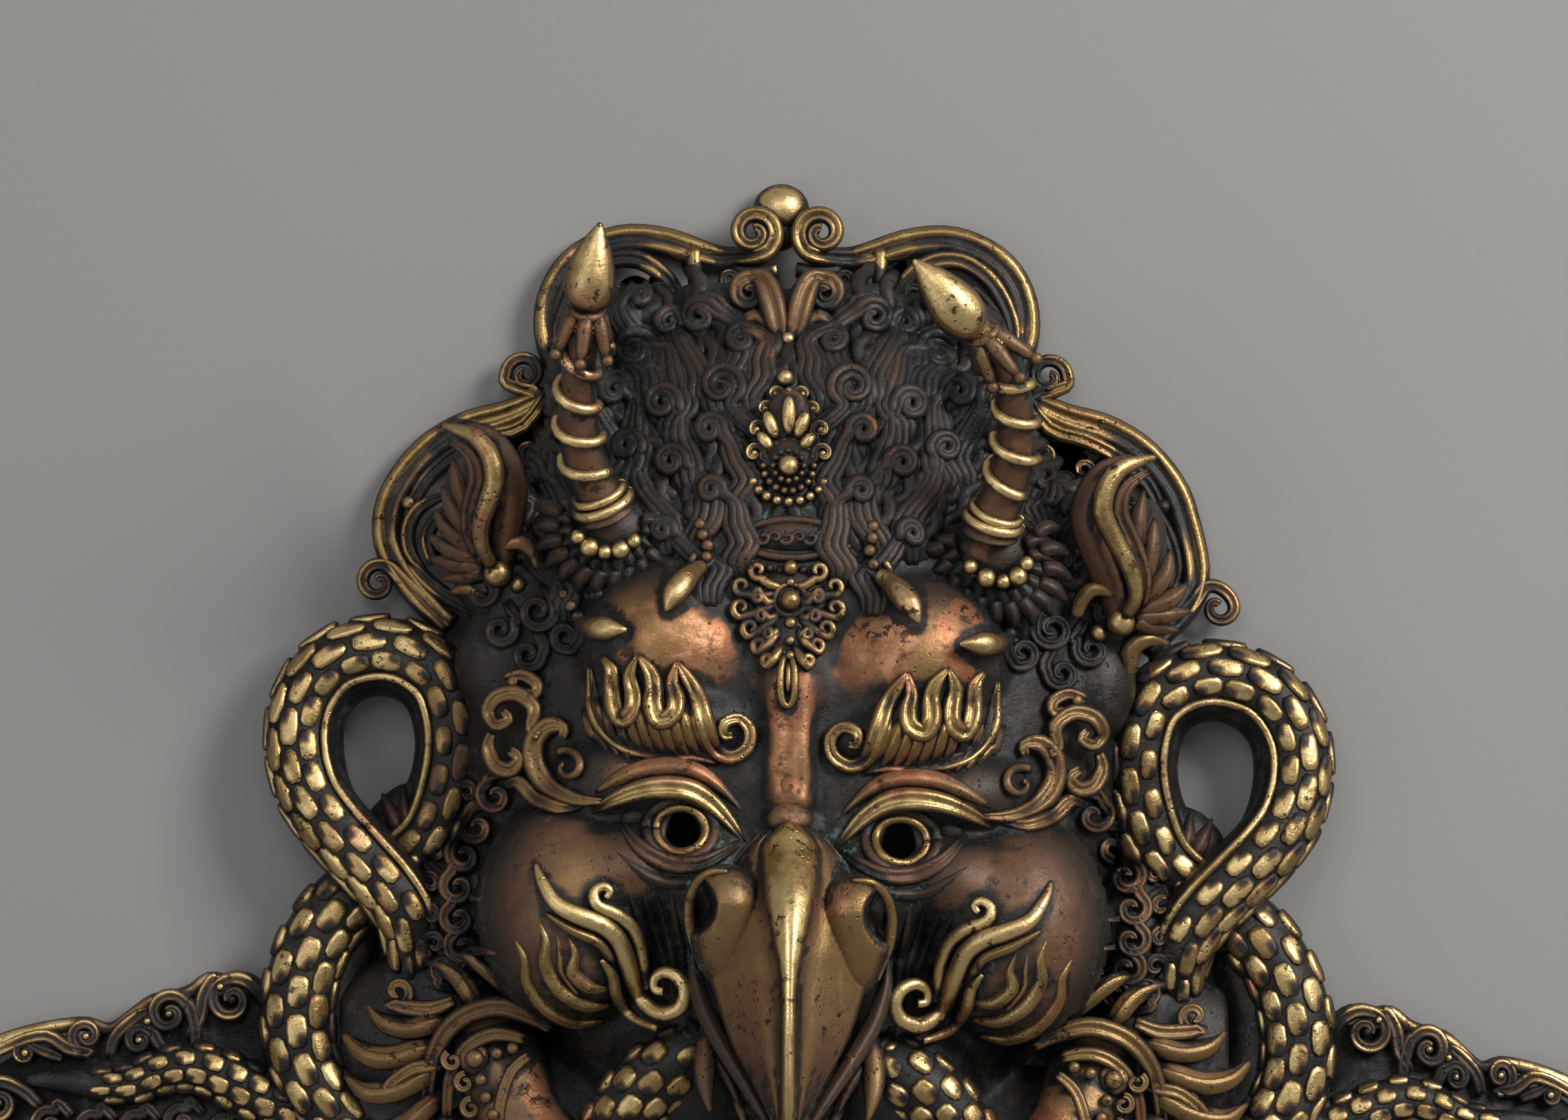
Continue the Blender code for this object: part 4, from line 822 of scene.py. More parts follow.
def jewels():
    """The crest on the hair, the beaded medallion, the pendant on the forehead and the ring of beads."""
    piece = Casting("brow_jewels", 0.86)

    def stud(out, up, height, half):
        piece.ball(LEFT, (-out, up, height), (half, half, half), lying=True)

    def string(count, start, turn, middle, reach, height, half):
        for k in range(count):
            angle = math.radians(start + turn * k)
            stud(middle[0] + reach[0] * math.cos(angle), middle[1] + reach[1] * math.sin(angle), height, half)

    def lay(side, points, kind="round", steps=2):
        piece.lie(LEFT, [(-centre - side * out, up, lift, thick) for out, up, lift, thick in points], kind,
                  steps)

    centre = 0.8
    stud(-0.4, 137.2, 5, 2.9)
    for side in (LEFT, RIGHT):
        for out, up, outer, start, spin in ((4.3, 132, 2.6, 90, -1), (7.6, 127.2, 2.8, 90, -1),
                                            (10.2, 120.6, 3, 60, -1),
                                            (11, 113, 3, 30, -1)):
            lay(side, [(0.2 * out, up - 6, 3, 1)] + curl((out, up), outer, 1.1, start + 180, spin, 1.35, 4),
                "ridged")
            stud(centre + side * out, up, 5, 1.2)
        piece.ball(side, (4.9, 122, 6), (2.4, 5, 2.2), turn=22, lying=True)
        piece.ball(side, (6.6, 116.6, 5), (2.2, 4, 2), turn=40, lying=True)
    piece.ball(RIGHT, (centre, 125, 6.4), (2.6, 6.5, 2.8), detail=3, lying=True)
    piece.ball(RIGHT, (centre, 131.5, 5), (2, 3, 2), lying=True)
    piece.polish = 0.5
    piece.ball(RIGHT, (centre, 120, 0), (9, 14, 4.6), detail=3, lying=True)
    piece.ball(RIGHT, (centre, 109, 0), (9.6, 9.6, 5), detail=3, lying=True)
    piece.polish = 0.86
    string(18, 0, 20, (centre, 109), (8, 8), 4, 1.4)
    string(12, 0, 30, (centre, 109), (4.8, 4.8), 5.6, 1.2)
    piece.ball(RIGHT, (centre, 109, 6.4), (3.5, 3.5, 3.2), detail=3, lying=True)
    string(9, 200, 17.5, (centre, 107), (12, 9.4), 2.6, 1.8)
    piece.polish = 0.36
    lay(RIGHT, [(1 + 15.4 * math.cos(math.radians(a)), 85.6 + 6.2 * math.sin(math.radians(a)), 0.8, 1.4)
                for a in range(0, 361, 15)], steps=1)
    piece.ball(LEFT, (-2, 86, -0.6), (13.5, 5, 3), detail=3, lying=True)
    for k in range(6):
        lay(RIGHT, curl((-8 + 3.8 * k, 86), 2.2, 0.9, 200, (-1) ** k, 0.9, 2.2))
    string(15, 188, 11.7, (2, 84.4), (18, 9), 0.9, 1.5)
    piece.polish = 0.72
    stud(1.6, 76.4, 2.4, 2.5)
    stud(1.6, 66, 3.4, 3.4)
    lay(RIGHT, [(0.8 + 5 * math.cos(math.radians(a)), 66 + 5 * math.sin(math.radians(a)), 1.8, 1.1)
                for a in range(0, 361, 20)], steps=1)
    piece.ball(LEFT, (-1.6, 63, -2), (13, 13, 4), detail=3, lying=True)
    piece.ball(LEFT, (-1.6, 52, -2), (7.6, 10, 4), detail=3, lying=True)
    for up, half in ((58.6, 2.2), (53, 1.9), (48.2, 1.7), (71.6, 1.6)):
        stud(1.6, up, 2.2, half)
    for side in (LEFT, RIGHT):
        for root, middle, outer, start, spin in (
                ((2, 70), (9.6, 75.4), 2.8, 250, 1), ((4, 68), (14.6, 70.4), 2.9, 250, 1),
                ((4, 64.5), (15, 63.4), 2.9, 270, 1),
                ((3.6, 60.5), (12, 57), 2.7, 280, 1), ((2.6, 56), (9, 51.6), 2.3, 280, 1),
                ((2, 51), (6.2, 46.8), 1.8, 280, 1),
                ((3.6, 66), (9.4, 67), 2, 90, -1), ((3.4, 61.6), (8.4, 60.8), 1.8, 90, -1),
                ((3, 57), (6, 55), 1.6, 90, -1)):
            stem = [(*root, 1.4, 1.2), (0.5 * (root[0] + middle[0]),
                                        0.5 * (root[1] + middle[1]) - 0.7 * outer, 2, 1.7)]
            lay(side, stem + curl(middle, outer, 1.0, start, spin, 1.5, 2.2))
        lay(side, [(1, 48.4, 1.6, 1), (2.2, 43.6, 1.8, 1.2), (2.3, 37, 1.6, 1.2), (1.3, 33, 1.4, 1.1),
                   (-0.4, 32, 1.4, 1)])
    lay(RIGHT, [(0.2, 46, 1, 1), (0.2, 40, 1, 1.2), (0.2, 36, 0.6, 0.7)])
    return piece.finish()


# The middle of each horn's foot, and the drawn course of its shaft and bud
HORN_BASE = {LEFT: (57, 93, 66), RIGHT: (64, 88, 66)}
HORN_COURSE = {
    LEFT: [(57, 93, 66, 9.2), (59.5, 99, 69, 7.4), (63, 107, 73, 6.9), (66, 117, 79, 6.4), (67, 128, 86, 5.8),
           (66.5, 139, 93, 5.2), (65, 149, 99, 4.6), (64.5, 154, 102, 5.4), (64, 159, 104, 4.2),
           (63.5, 163, 106, 7.4), (63, 170, 109, 7.8), (61.5, 179, 112, 5), (60, 187, 114, 0.6)],
    RIGHT: [(64, 88, 66, 9.2), (67, 94, 69, 7.4), (70.5, 103, 74, 6.9), (73, 113, 80, 6.4),
            (73.5, 124, 87, 5.8),
            (72.5, 134, 93, 5.2), (69, 143, 99, 4.6), (66, 148, 102, 5.4), (62.5, 152, 104, 4.2),
            (58, 156, 106, 7.4), (53, 161.5, 109, 7.8), (46.5, 169, 112, 5), (40.5, 175.5, 114, 0.6)],
}


def round_course(side, first, last):
    """Samples of a horn's course between two knots, with two ways square to it."""
    found = []
    for spot, way, radius in even_path(side, HORN_COURSE[side][first:last + 1], 0.0008):
        across = way.cross(Vector((0, 0, 1))).normalized()
        found.append((spot, across, across.cross(way).normalized(), radius))
    return found


def horn(side, word):
    """A tapered horn bound with wire, with rings at its foot and a bud in a cup of petals at its tip."""
    piece = Casting("horn_" + word + "_dressed", node="horn_" + word, slot="gilt_horn")
    course = HORN_COURSE[side]
    piece.polish = 0.4
    piece.bar(side, course[:8], steps=8)
    piece.polish = 0.82
    piece.bar(side, course[7:], steps=10)
    shaft = round_course(side, 2, 6)
    wire = []
    turns = 3.8
    for k, (spot, across, upward, radius) in enumerate(shaft):
        angle = 2 * math.pi * turns * k / (len(shaft) - 1) + 0.6
        wire.append((spot + (across * math.cos(angle) + upward * math.sin(angle)) * (radius + 0.0008),
                     0.0018))
    piece.polish = 0.95
    piece.run(wire)
    rings = round_course(side, 0, 2)
    for index, extra, thick in ((0.30, 1.10, 0.0018), (0.48, 1.08, 0.0014)):
        spot, across, upward, radius = rings[int(index * (len(rings) - 1))]
        hoop = [(spot + (across * math.cos(a) + upward * math.sin(a)) * radius * extra, thick)
                for a in (2 * math.pi * k / 30 for k in range(31))]
        piece.run(hoop)
    cup, across, upward, radius = round_course(side, 6, 8)[4]
    bud = round_course(side, 8, 9)[0][0]
    way = (bud - cup).normalized()
    piece.polish = 0.46
    for k in range(6):
        angle = 2 * math.pi * k / 6 + 0.5
        outward = across * math.cos(angle) + upward * math.sin(angle)
        petal = [(bud + way * 0.001 + outward * 0.0025, 0.0022),
                 (cup + way * 0.003 + outward * 0.0052, 0.0026),
                 (cup - way * 0.003 + outward * 0.0076, 0.0020),
                 (cup - way * 0.0062 + outward * 0.0088, 0.0012)]
        piece.run(petal)
        fresh = bmesh.ops.create_icosphere(piece.shape, subdivisions=2, radius=0.0021)["verts"]
        bmesh.ops.translate(piece.shape, vec=cup - way * 0.0066 + outward * 0.0092, verts=fresh)
        piece.mark(len(piece.shape.verts) - len(fresh))
    neck = [(bud - way * 0.0005 + (across * math.cos(a) + upward * math.sin(a)) * 0.0046, 0.0014)
            for a in (2 * math.pi * k / 24 for k in range(25))]
    piece.run(neck)
    return piece.finish()


def horn_seats():
    """The garland of beads and petals round each horn's foot, and the beaded claws that hang from it."""
    piece = Casting("horn_seats")
    for side in (LEFT, RIGHT):
        out, up, height = HORN_BASE[side]
        piece.polish = 0.9
        for k in range(5):
            angle = math.radians(222 + 26 * k)
            piece.ball(side, (out + 11.4 * math.cos(angle), up - 1 + 11 * math.sin(angle), height + 2),
                       (3.2, 3.2, 3.4) if k % 2 else (2.5, 2.5, 2.8), detail=3)
        piece.polish = 0.28
        for k in range(26):
            angle = math.radians(172 + 16 * (k % 13) + 8 * (k // 13))
            reach = (11 + 4 * (k // 13), 15 + 4.4 * (k // 13), 19 + 4.6 * (k // 13))
            piece.bar(side, [(out + reach[0] * math.cos(angle), up - 3 + reach[0] * math.sin(angle),
                              height - 3, 2.2),
                             (out + reach[1] * math.cos(angle + 0.06),
                              up - 3 + reach[1] * math.sin(angle + 0.06),
                              height - 4.5, 2.6),
                             (out + reach[2] * math.cos(angle), up - 3 + reach[2] * math.sin(angle),
                              height - 8, 1)],
                      "keel", steps=3)
        piece.ball(side, (out - 1, up - 5, height - 12), (14, 13, 12), detail=3)
        strings = ([(27.5, 90, 3), (26.6, 86.6, 3.2), (25, 83.2, 3.4), (25.4, 79.4, 4.2)],
                   [(70.5, 67.5, 3), (68.5, 63.6, 3.4), (66.2, 60, 4)])
        piece.polish = 0.5
        for beads in strings:
            for o, u, lift in beads:
                piece.ball(side, (o, u, lift), (2.2, 2.2, 2.2), lying=True)
        piece.polish = 0.85
        piece.lie(side, [(26.6, 76.6, 4.6, 2.6), (29.4, 74.6, 6, 3.4), (33, 71, 7.4, 4.3), (36, 67, 7.6, 3.6),
                         (38.2, 62.2, 6.6, 0.6)])
        piece.lie(side, [(64.8, 57.8, 4.6, 2.8), (61.6, 56.6, 6.6, 3.8), (57, 56.4, 8, 3.9),
                         (50.6, 56.2, 8, 0.6)])
        piece.lie(side, [(22, 80, 2, 0.7), (25.5, 76.5, 4, 1.4), (30, 77.4, 4.4, 1.5), (29, 80.4, 4.2, 1.2)],
                  steps=3)
    return piece.finish()


def arms():
    """The arms in their ruffs of leaves, the bracelets, and the hands on the lesser serpents."""
    piece = Casting("arms", 0.5)
    for side in (LEFT, RIGHT):
        piece.bar(side, [(92, -74, 26, 15), (89, -86, 34, 14.5), (82, -100, 40, 13), (70, -112, 46, 11.5),
                         (60, -120, 50, 10.5)], steps=6)
        piece.bar(side, [(112, -100, 26, 2), (112.4, -88, 32, 2.8), (109.4, -76, 37, 3.2),
                         (102.4, -67.6, 41, 3.4),
                         (91, -64, 43, 3.4), (80, -67, 43, 2.8), (74, -71, 42, 1.6)], "ridged")
        piece.bar(side, [(106.5, -98, 38, 1.8), (105.4, -86, 42, 2.2), (100, -76.6, 46, 2.4),
                         (91.6, -72.6, 48, 2.4),
                         (82.5, -74, 47, 2)], "ridged")
        piece.bar(side, [(90.5, -104, 51, 1.8), (89.6, -94, 51, 2), (86.4, -84.6, 50, 2),
                         (81, -79.4, 49, 1.6)],
                  "ridged")
        piece.ball(side, (98, -80.4, 47.6), (3.1, 3.1, 2.6), detail=3)
        piece.ball(side, (98, -80.4, 46), (5, 5, 2.2), detail=3)
        for out, up, height in ((96, -87, 49), (94.4, -92.6, 50.6), (92, -98, 52), (91, -78.6, 48.6),
                                (86, -77, 48.6)):
            piece.ball(side, (out, up, height), (2.1, 2.1, 2))
        for centre, start in (((101, -88), 90), ((99, -96), 90), ((91.5, -84), 200), ((105, -81), 60)):
            piece.bar(side, curl(centre, 3, 1.1, start, -1, 1.3, 46), "ridged", steps=2)
        piece.polish = 0.12
        serpent_course = [(17, -66, 38, 10), (24, -76, 48, 11), (35, -82, 52, 12), (46, -92, 50, 12.6),
                          (54, -107, 46, 12.4), (56.5, -122, 42, 11.6), (52.5, -138, 38, 10.4),
                          (43, -149, 32, 8.6), (31, -152, 28, 6.4), (24.5, -146, 26, 4.8),
                          (28, -140.5, 26, 3.6)]
        piece.bar(side, [(*point[:3], 0.94 * point[3]) for point in serpent_course], steps=6)
        clad(piece, side, serpent_course[1:9], RIGHT, 9.4, (-70, -35, 0, 35, 70))
        piece.polish = 0.85
        for k in range(4):
            lift = 1.4 * k
            piece.bar(side, [(68 + 1.2 * k, -112 - 6.4 * k, 48 - lift, 4.6),
                             (63 + 0.8 * k, -110.5 - 6.6 * k, 57 - lift, 4.4),
                             (55.5, -110 - 6.8 * k, 62 - lift, 4.1), (48, -112 - 6.8 * k, 60 - lift, 3.8),
                             (43.4, -115.6 - 6.4 * k, 53.6 - lift, 3.2)], steps=5)
            piece.ball(side, (42.8, -116.6 - 6.3 * k, 51 - lift), (2.4, 2.6, 2.8))
        piece.polish = 0.58
        for leaf in ([(115.7, -49.6, 26, 0.8), (110, -50.5, 30, 2.6), (103.5, -54.5, 33, 3.4),
                      (99, -61, 35, 3)],
                     [(104, -47.5, 32, 0.8), (98.5, -49, 35, 2.6), (91, -54.5, 37, 3.2), (84, -61, 38, 2.6)],
                     [(132.6, -63.4, 24, 0.8), (127.5, -68.6, 28, 3), (119.5, -70.8, 31, 3.8),
                      (110.5, -69, 34, 3.4)],
                     [(140, -72.6, 23, 0.8), (134, -78.4, 27, 3.2), (125.5, -80.4, 30, 4),
                      (114.5, -77.6, 33, 3.6)],
                     [(139, -86, 23, 0.8), (132.5, -91, 27, 3.2), (123.5, -90.6, 30, 3.9),
                      (113.5, -86, 33, 3.4)],
                     [(133, -100, 23, 0.8), (127, -103.4, 27, 3), (119.5, -101, 30, 3.6),
                      (111.5, -94.6, 33, 3.2)],
                     [(121, -112, 22, 0.8), (117.5, -112, 26, 2.8), (112, -108, 29, 3.4),
                      (106, -101, 33, 3)]):
            (out, up, height, _), before = leaf[-1], leaf[-2]
            leaf.append((1.9 * out - 0.9 * before[0], 1.9 * up - 0.9 * before[1], height - 7, 1))
            piece.bar(side, leaf, "keel")
            vein = [(out, up + 0.4, height + 0.62 * radius, 0.28 * radius + 0.2) for out, up, height,
                    radius in leaf]
            piece.bar(side, vein, steps=3)
        for centre, start, spin in (((122.6, -59.4), 300, -1), ((121.4, -87), 330, -1)):
            tail = [(104.6, -62, 36, 2), (111.6, -64.6, 34, 2.8), (118.6, -64.4, 32, 2.8)]
            if centre[1] < -80:
                tail = [(108, -82, 35, 2), (113, -82.8, 35, 2.4), (118.4, -84, 34, 2.4)]
            piece.bar(side, tail + curl(centre, 4.4, 1.1, start, spin, 2.2, 31), "ridged", steps=3)
    return piece.finish()


def side_panel(side, word):
    """A flat-backed panel: scroll and cloud edging above and below a lesser serpent's tail."""
    piece = Casting("side_panel_" + word)
    outline = [(150, -62), (168, -60), (184, -58), (197, -64), (209, -70), (222, -76), (240, -78), (254, -86),
               (257, -100), (252, -114), (238, -124), (214, -122), (190, -128), (172, -136), (150, -134),
               (140, -100)]
    base = piece.shape.faces.new([piece.shape.verts.new(place(side, out, up, 0)) for out, up in outline])
    raised = bmesh.ops.extrude_face_region(piece.shape, geom=[base])["geom"]
    top = [part for part in raised if isinstance(part, bmesh.types.BMVert)]
    bmesh.ops.translate(piece.shape, vec=(0, 0, 6 * UNIT), verts=top)
    piece.polish = 0.34
    piece.mark(0)
    tail = [(148, -99, 8, 9.5), (158, -95, 8, 9.5), (167, -91.5, 8, 9.4), (176, -87, 8, 9),
            (186, -83.5, 8, 8.4),
            (196, -84.6, 8, 7.6), (206, -88.6, 8, 6.6), (216, -89.4, 8, 5.2), (228, -88, 8, 3.8),
            (240, -87.6, 8, 2)]
    piece.polish = 0.15
    piece.bar(side, [(*point[:3], 0.94 * point[3]) for point in tail], steps=6)
    clad(piece, side, tail[:8], RIGHT, 8, (-64, -24, 16, 56))
    piece.polish = 0.9
    scrolls = [
        ([(164, -64, 7, 1.6), (167, -59, 8, 2.4), (172, -55.6, 8, 2.6)], (175.4, -62), 6.4, 80, -1, 2.4),
        ([(189, -74, 8, 1.8), (185.6, -68, 8, 2.4), (184.4, -61, 8, 2.6), (181.6, -55.6, 8, 2.2)], (179, -58),
         2.6, 60, 1, 1.6),
        ([(187, -80, 8, 1.6), (186.6, -72, 8, 2.2), (188.6, -64.6, 8, 2.6)], (195.2, -66.6), 6.2, 150, -1,
         2.4),
        ([(196, -79, 8, 1.6), (198.5, -76, 8, 2.2), (200, -73, 8, 2.4)], (204.6, -75), 4.2, 150, -1, 2),
        ([(252, -80, 7, 2), (243, -75.6, 8, 2.4), (234, -73.6, 8, 2.6), (227, -77.6, 8, 2.6)], (221.4, -73.8),
         5.2, 260, 1, 2.2),
        ([(214, -80, 8, 1.8), (212.6, -74.6, 8, 2.2), (209, -70.4, 8, 2.4), (203.6, -66.4, 8, 2.2)],
         (202, -69), 2.6, 90, 1, 1.5),
        ([(229, -81, 8, 1.4), (234, -79, 8, 2)], (240.8, -79.2), 3.4, 150, -1, 1.7),
        ([(236, -96, 8, 1.8), (241, -91.4, 8, 2.4), (247, -88.6, 8, 2.6)], (249, -95), 6, 80, -1, 2.3)]
    for way, centre, outer, start, spin, thick in scrolls:
        piece.bar(side, way + curl(centre, outer, 1.25, start, spin, thick, 8), "ridged", steps=3)
        piece.ball(side, (*centre, 9.6), (1.5, 1.5, 1.8))
    for k, (out, up) in enumerate(((163, -106), (177, -104), (191, -101), (205, -103), (219, -103),
                                   (233, -102))):
        piece.bar(side, [(out - 7, up + 3, 8, 1.6), (out - 3, up + 7, 8, 2.2)] +
                  curl((out, up), 5, 1.2, 110, -1, 2.1, 8), "ridged", steps=3)
        piece.bar(side, [(out + 3, up - 12, 7, 1), (out - 1, up - 9, 8, 2.6), (out - 6, up - 10, 8, 2.4),
                         (out - 10, up - 15, 7, 1)], "keel")
    rim = [(262, -85, 5, 2.6), (251.5, -77.4, 6, 2.8), (240, -73, 7, 2.6), (229, -70.6, 7, 2.4),
           (221, -70, 7, 2.4),
           (213.5, -71.4, 7, 2), (206, -66.6, 7, 2.2), (200, -62.6, 7, 2.4), (193, -61, 7, 2.2),
           (187.6, -59, 7, 2.2),
           (182.6, -55.4, 7, 2.2), (176, -56, 7, 2), (170.6, -55.4, 7, 2.2), (165.6, -58.6, 7, 2.2)]
    piece.bar(side, rim, steps=3)
    edge = [(254, -90, 6, 5), (257, -99, 6, 5.6), (256, -108, 6, 5.4), (248, -119.5, 6, 5), (232, -126, 6, 5),
            (214, -124, 6, 5), (196, -128, 6, 5), (180, -138, 6, 5), (164, -140, 6, 5), (148, -134, 7, 5)]
    piece.bar(side, edge, "ridged")
    return piece.finish()


def foot_scrolls():
    """The plain lower edging, which closes in a boss under the serpents' tails."""
    piece = Casting("foot_scrolls", 0.6)
    for side in (LEFT, RIGHT):
        first = [(160, -146, 7, 4), (142, -150, 7, 5), (122, -158, 7, 5), (102, -163, 7, 5),
                 (84, -164, 7, 4.4)]
        second = [(78, -172, 7, 4), (62, -176, 7, 5), (46, -183, 7, 5), (28, -189, 7, 5), (12, -190, 7, 5),
                  (1, -188, 7, 5)]
        piece.bar(side, list(reversed(curl((170, -146), 6, 1.1, 90, -1, 2.8, 7))) + first, "ridged")
        piece.bar(side, list(reversed(curl((88, -172), 6, 1.1, 90, -1, 2.8, 7))) + second, "ridged")
        for out, up in ((130, -137), (110, -145), (92, -150), (74, -158), (56, -166), (40, -170)):
            piece.bar(side, [(out - 8, up + 4, 8, 1.6)] + curl((out, up), 4.6, 1.1, 120, -1, 2, 9), "ridged",
                      steps=3)
    piece.ball(LEFT, (0, -191, 6), (8.4, 9, 8), detail=4)
    piece.ball(LEFT, (0, -176, 9), (5, 7, 5), detail=3)
    return piece.finish()


def blurred(grid, reach):
    """The grid averaged over a square of cells, twice."""
    for _ in range(2):
        for axis in (0, 1):
            padded = np.pad(grid, [(reach + 1, reach) if a == axis else (0, 0) for a in (0, 1)], mode="edge")
            total = np.cumsum(padded, axis=axis)
            high = np.take(total, range(2 * reach + 1, total.shape[axis]), axis=axis)
            low = np.take(total, range(0, total.shape[axis] - 2 * reach - 1), axis=axis)
            grid = (high - low) / (2 * reach + 1)
    return grid


def read(vectors, name):
    """Vectors of a mesh as an array of rows."""
    found = np.empty(len(vectors) * 3, dtype=np.float32)
    vectors.foreach_get(name, found)
    return found.reshape(-1, 3).astype(float)


def zone(points, centres):
    """How far each point lies within soft ovals (x, y, half width, half height), in drawn units."""
    found = np.zeros(len(points))
    for x, y, half_x, half_y in centres:
        away = ((points[:, 0] / UNIT - x) / half_x) ** 2 + ((points[:, 1] / UNIT - y) / half_y) ** 2
        found = np.maximum(found, np.exp(-away ** 1.6))
    return found


# Where the shell shows bare metal, and where it is brown: (x, y, half width, half height)
BARE_ZONES = [(-36, 52, 28, 18), (38, 50, 29, 18), (2, 20, 10, 32), (-34, 10, 22, 8), (37, 6, 23, 8)]
BROWN_ZONES = [(-66, -32, 31, 37), (74, -36, 32, 37)]

# Where hands wore through to red copper, and where green has gathered: (x, y, half width, half height)
COPPER_ZONES = [(-26, 51, 20, 15), (30, 49, 22, 15), (-45, 55, 14, 11), (50, 52, 14, 11), (2, 20, 9, 26),
                (-34, 12, 17, 6),
                (37, 8, 17, 6), (-68, -92, 13, 13), (76, -96, 13, 13)]
VERDIGRIS_ZONES = [(-14, -12, 8, 8), (18, -14, 8, 8), (-26, -46, 7, 9), (30, -48, 7, 10), (0, -92, 9, 8),
                   (40, -26, 14, 5),
                   (-38, -24, 14, 5), (0, 92, 26, 6), (60, -52, 10, 8)]


def weather(pieces):
    """Gives every piece copper, verdigris, and wear_and_shade: wear from how far it stands above what is near
    it, dimmed as painted shade where other parts lie over it and where its face turns away from above.
    """
    low = np.array(cad_box[0][:2]) - 0.02
    size = ((np.array(cad_box[1][:2]) + 0.02 - low) / WEAR_CELL).astype(int) + 1
    tops = np.full((size[1], size[0]), -1.0)
    seen = {}
    for piece in pieces:
        points = read(piece.data.vertices, "co")
        cells = np.clip(((points[:, :2] - low) / WEAR_CELL).astype(int), 0, size - 1)
        seen[piece] = points, cells
        np.maximum.at(tops, (cells[:, 1], cells[:, 0]), points[:, 2])
    for _ in range(2):
        wider = tops.copy()
        for axis in (0, 1):
            for shift in (-1, 1):
                wider = np.maximum(wider, np.roll(tops, shift, axis=axis))
        tops = np.where(tops < 0, wider, tops)
    tops = np.maximum(tops, 0)
    near, wide = blurred(tops, 2), blurred(tops, 6)
    for piece, (points, cells) in seen.items():
        at = cells[:, 1], cells[:, 0]
        facing = np.clip((read(piece.data.vertex_normals, "vector")[:, 2] - 0.1) / 0.8, 0, 1)
        under = np.maximum(tops[at] - points[:, 2] - COVERED_FROM, 0)
        wear_and_shade = (0.42 + 0.30 * (points[:, 2] - near[at]) / FINE_RELIEF
                + 0.22 * (points[:, 2] - wide[at]) / BROAD_RELIEF)
        # Wear fades where other parts lie over a point and on faces turned away from above. This is unrubbed
        # patina, and also painted shade for the light from above.
        wear_and_shade = np.clip(wear_and_shade, 0, 1) * np.exp(-under / COVERED_FADE) * (0.3 + 0.7 * facing)
        share = 1.0 if piece.name in ("face_shell", "face_carving", "arms") else 0.2
        values = {"wear_and_shade": wear_and_shade, "copper": share * zone(points, COPPER_ZONES),
                  "verdigris": zone(points, VERDIGRIS_ZONES)}
        for name, value in values.items():
            layer = piece.data.attributes.new(name, "FLOAT", "POINT")
            layer.data.foreach_set("value", value.astype(np.float32))


class Value:
    """A number that varies over a finish; arithmetic on it adds Math nodes."""

    def __init__(self, finish, socket):
        self.finish, self.socket = finish, socket

    def math(self, operation, first, second=0.0):
        """The value that a Math node makes of one or two others."""
        made = self.finish.node("ShaderNodeMath", {"operation": operation}, {0: first, 1: second})
        return Value(self.finish, made.outputs[0])

    def __add__(self, other):
        return self.math("ADD", self, other)

    __radd__ = __add__

    def __sub__(self, other):
        return self.math("SUBTRACT", self, other)

    def __rsub__(self, other):
        return self.math("SUBTRACT", other, self)

    def __mul__(self, other):
        return self.math("MULTIPLY", self, other)

    __rmul__ = __mul__

    def most(self, other):
        """The larger of two values."""
        return self.math("MAXIMUM", self, other)

    def rise(self, low, high, start=0.0, end=1.0):
        """Eased from start to end as the value goes from low to high."""
        made = self.finish.node("ShaderNodeMapRange", {"interpolation_type": "SMOOTHSTEP"},
                                {"Value": self, "From Min": low, "From Max": high, "To Min": start,
                                 "To Max": end})
        return Value(self.finish, made.outputs[0])


class Finish:
    """A material whose nodes are added one by one."""

    def __init__(self, name):
        self.material = bpy.data.materials.new(name)
        self.material.use_nodes = True
        self.nodes = self.material.node_tree.nodes
        self.shader = self.nodes["Principled BSDF"]
        self.where = self.node("ShaderNodeTexCoord").outputs["Object"]

    def node(self, kind, settings=None, sockets=None):
        """Adds a node with its settings and inputs."""
        made = self.nodes.new(kind)
        for key, setting in (settings or {}).items():
            setattr(made, key, setting)
        for key, value in (sockets or {}).items():
            self.feed(made.inputs[key], value)
        return made

    def feed(self, socket, value):
        """Links or sets an input."""
        if isinstance(value, Value):
            value = value.socket
        if isinstance(value, bpy.types.NodeSocket):
            self.material.node_tree.links.new(value, socket)
        else:
            socket.default_value = value

    def layer(self, name):
        """One of the values that each vertex carries."""
        return Value(self, self.node("ShaderNodeAttribute", {"attribute_name": name}).outputs["Fac"])

    def noise(self, scale, detail=4.0, rough=0.55, stretch=(1, 1, 1)):
        """Cloudy noise in object space."""
        spread = self.node("ShaderNodeMapping", {}, {"Vector": self.where, "Scale": stretch})
        made = self.node("ShaderNodeTexNoise", {}, {"Vector": spread.outputs[0], "Scale": scale,
                                                    "Detail": detail,
                                                   "Roughness": rough})
        return Value(self, made.outputs[0])

    def pits(self, scale):
        """The distance to the nearest of scattered points."""
        made = self.node("ShaderNodeTexVoronoi", {"feature": "F1"}, {"Vector": self.where, "Scale": scale})
        return Value(self, made.outputs["Distance"])

    def mix(self, share, first, second, blend="MIX"):
        """A colour between two, by a share."""
        made = self.node("ShaderNodeMix", {"data_type": "RGBA", "blend_type": blend, "clamp_factor": True})
        for index, value in ((0, share), (6, first), (7, second)):
            self.feed(made.inputs[index], value)
        return made.outputs[2]

    def set(self, **sockets):
        """Feeds inputs of the shader by name."""
        for key, value in sockets.items():
            self.feed(self.shader.inputs[key.replace("_", " ")], value)


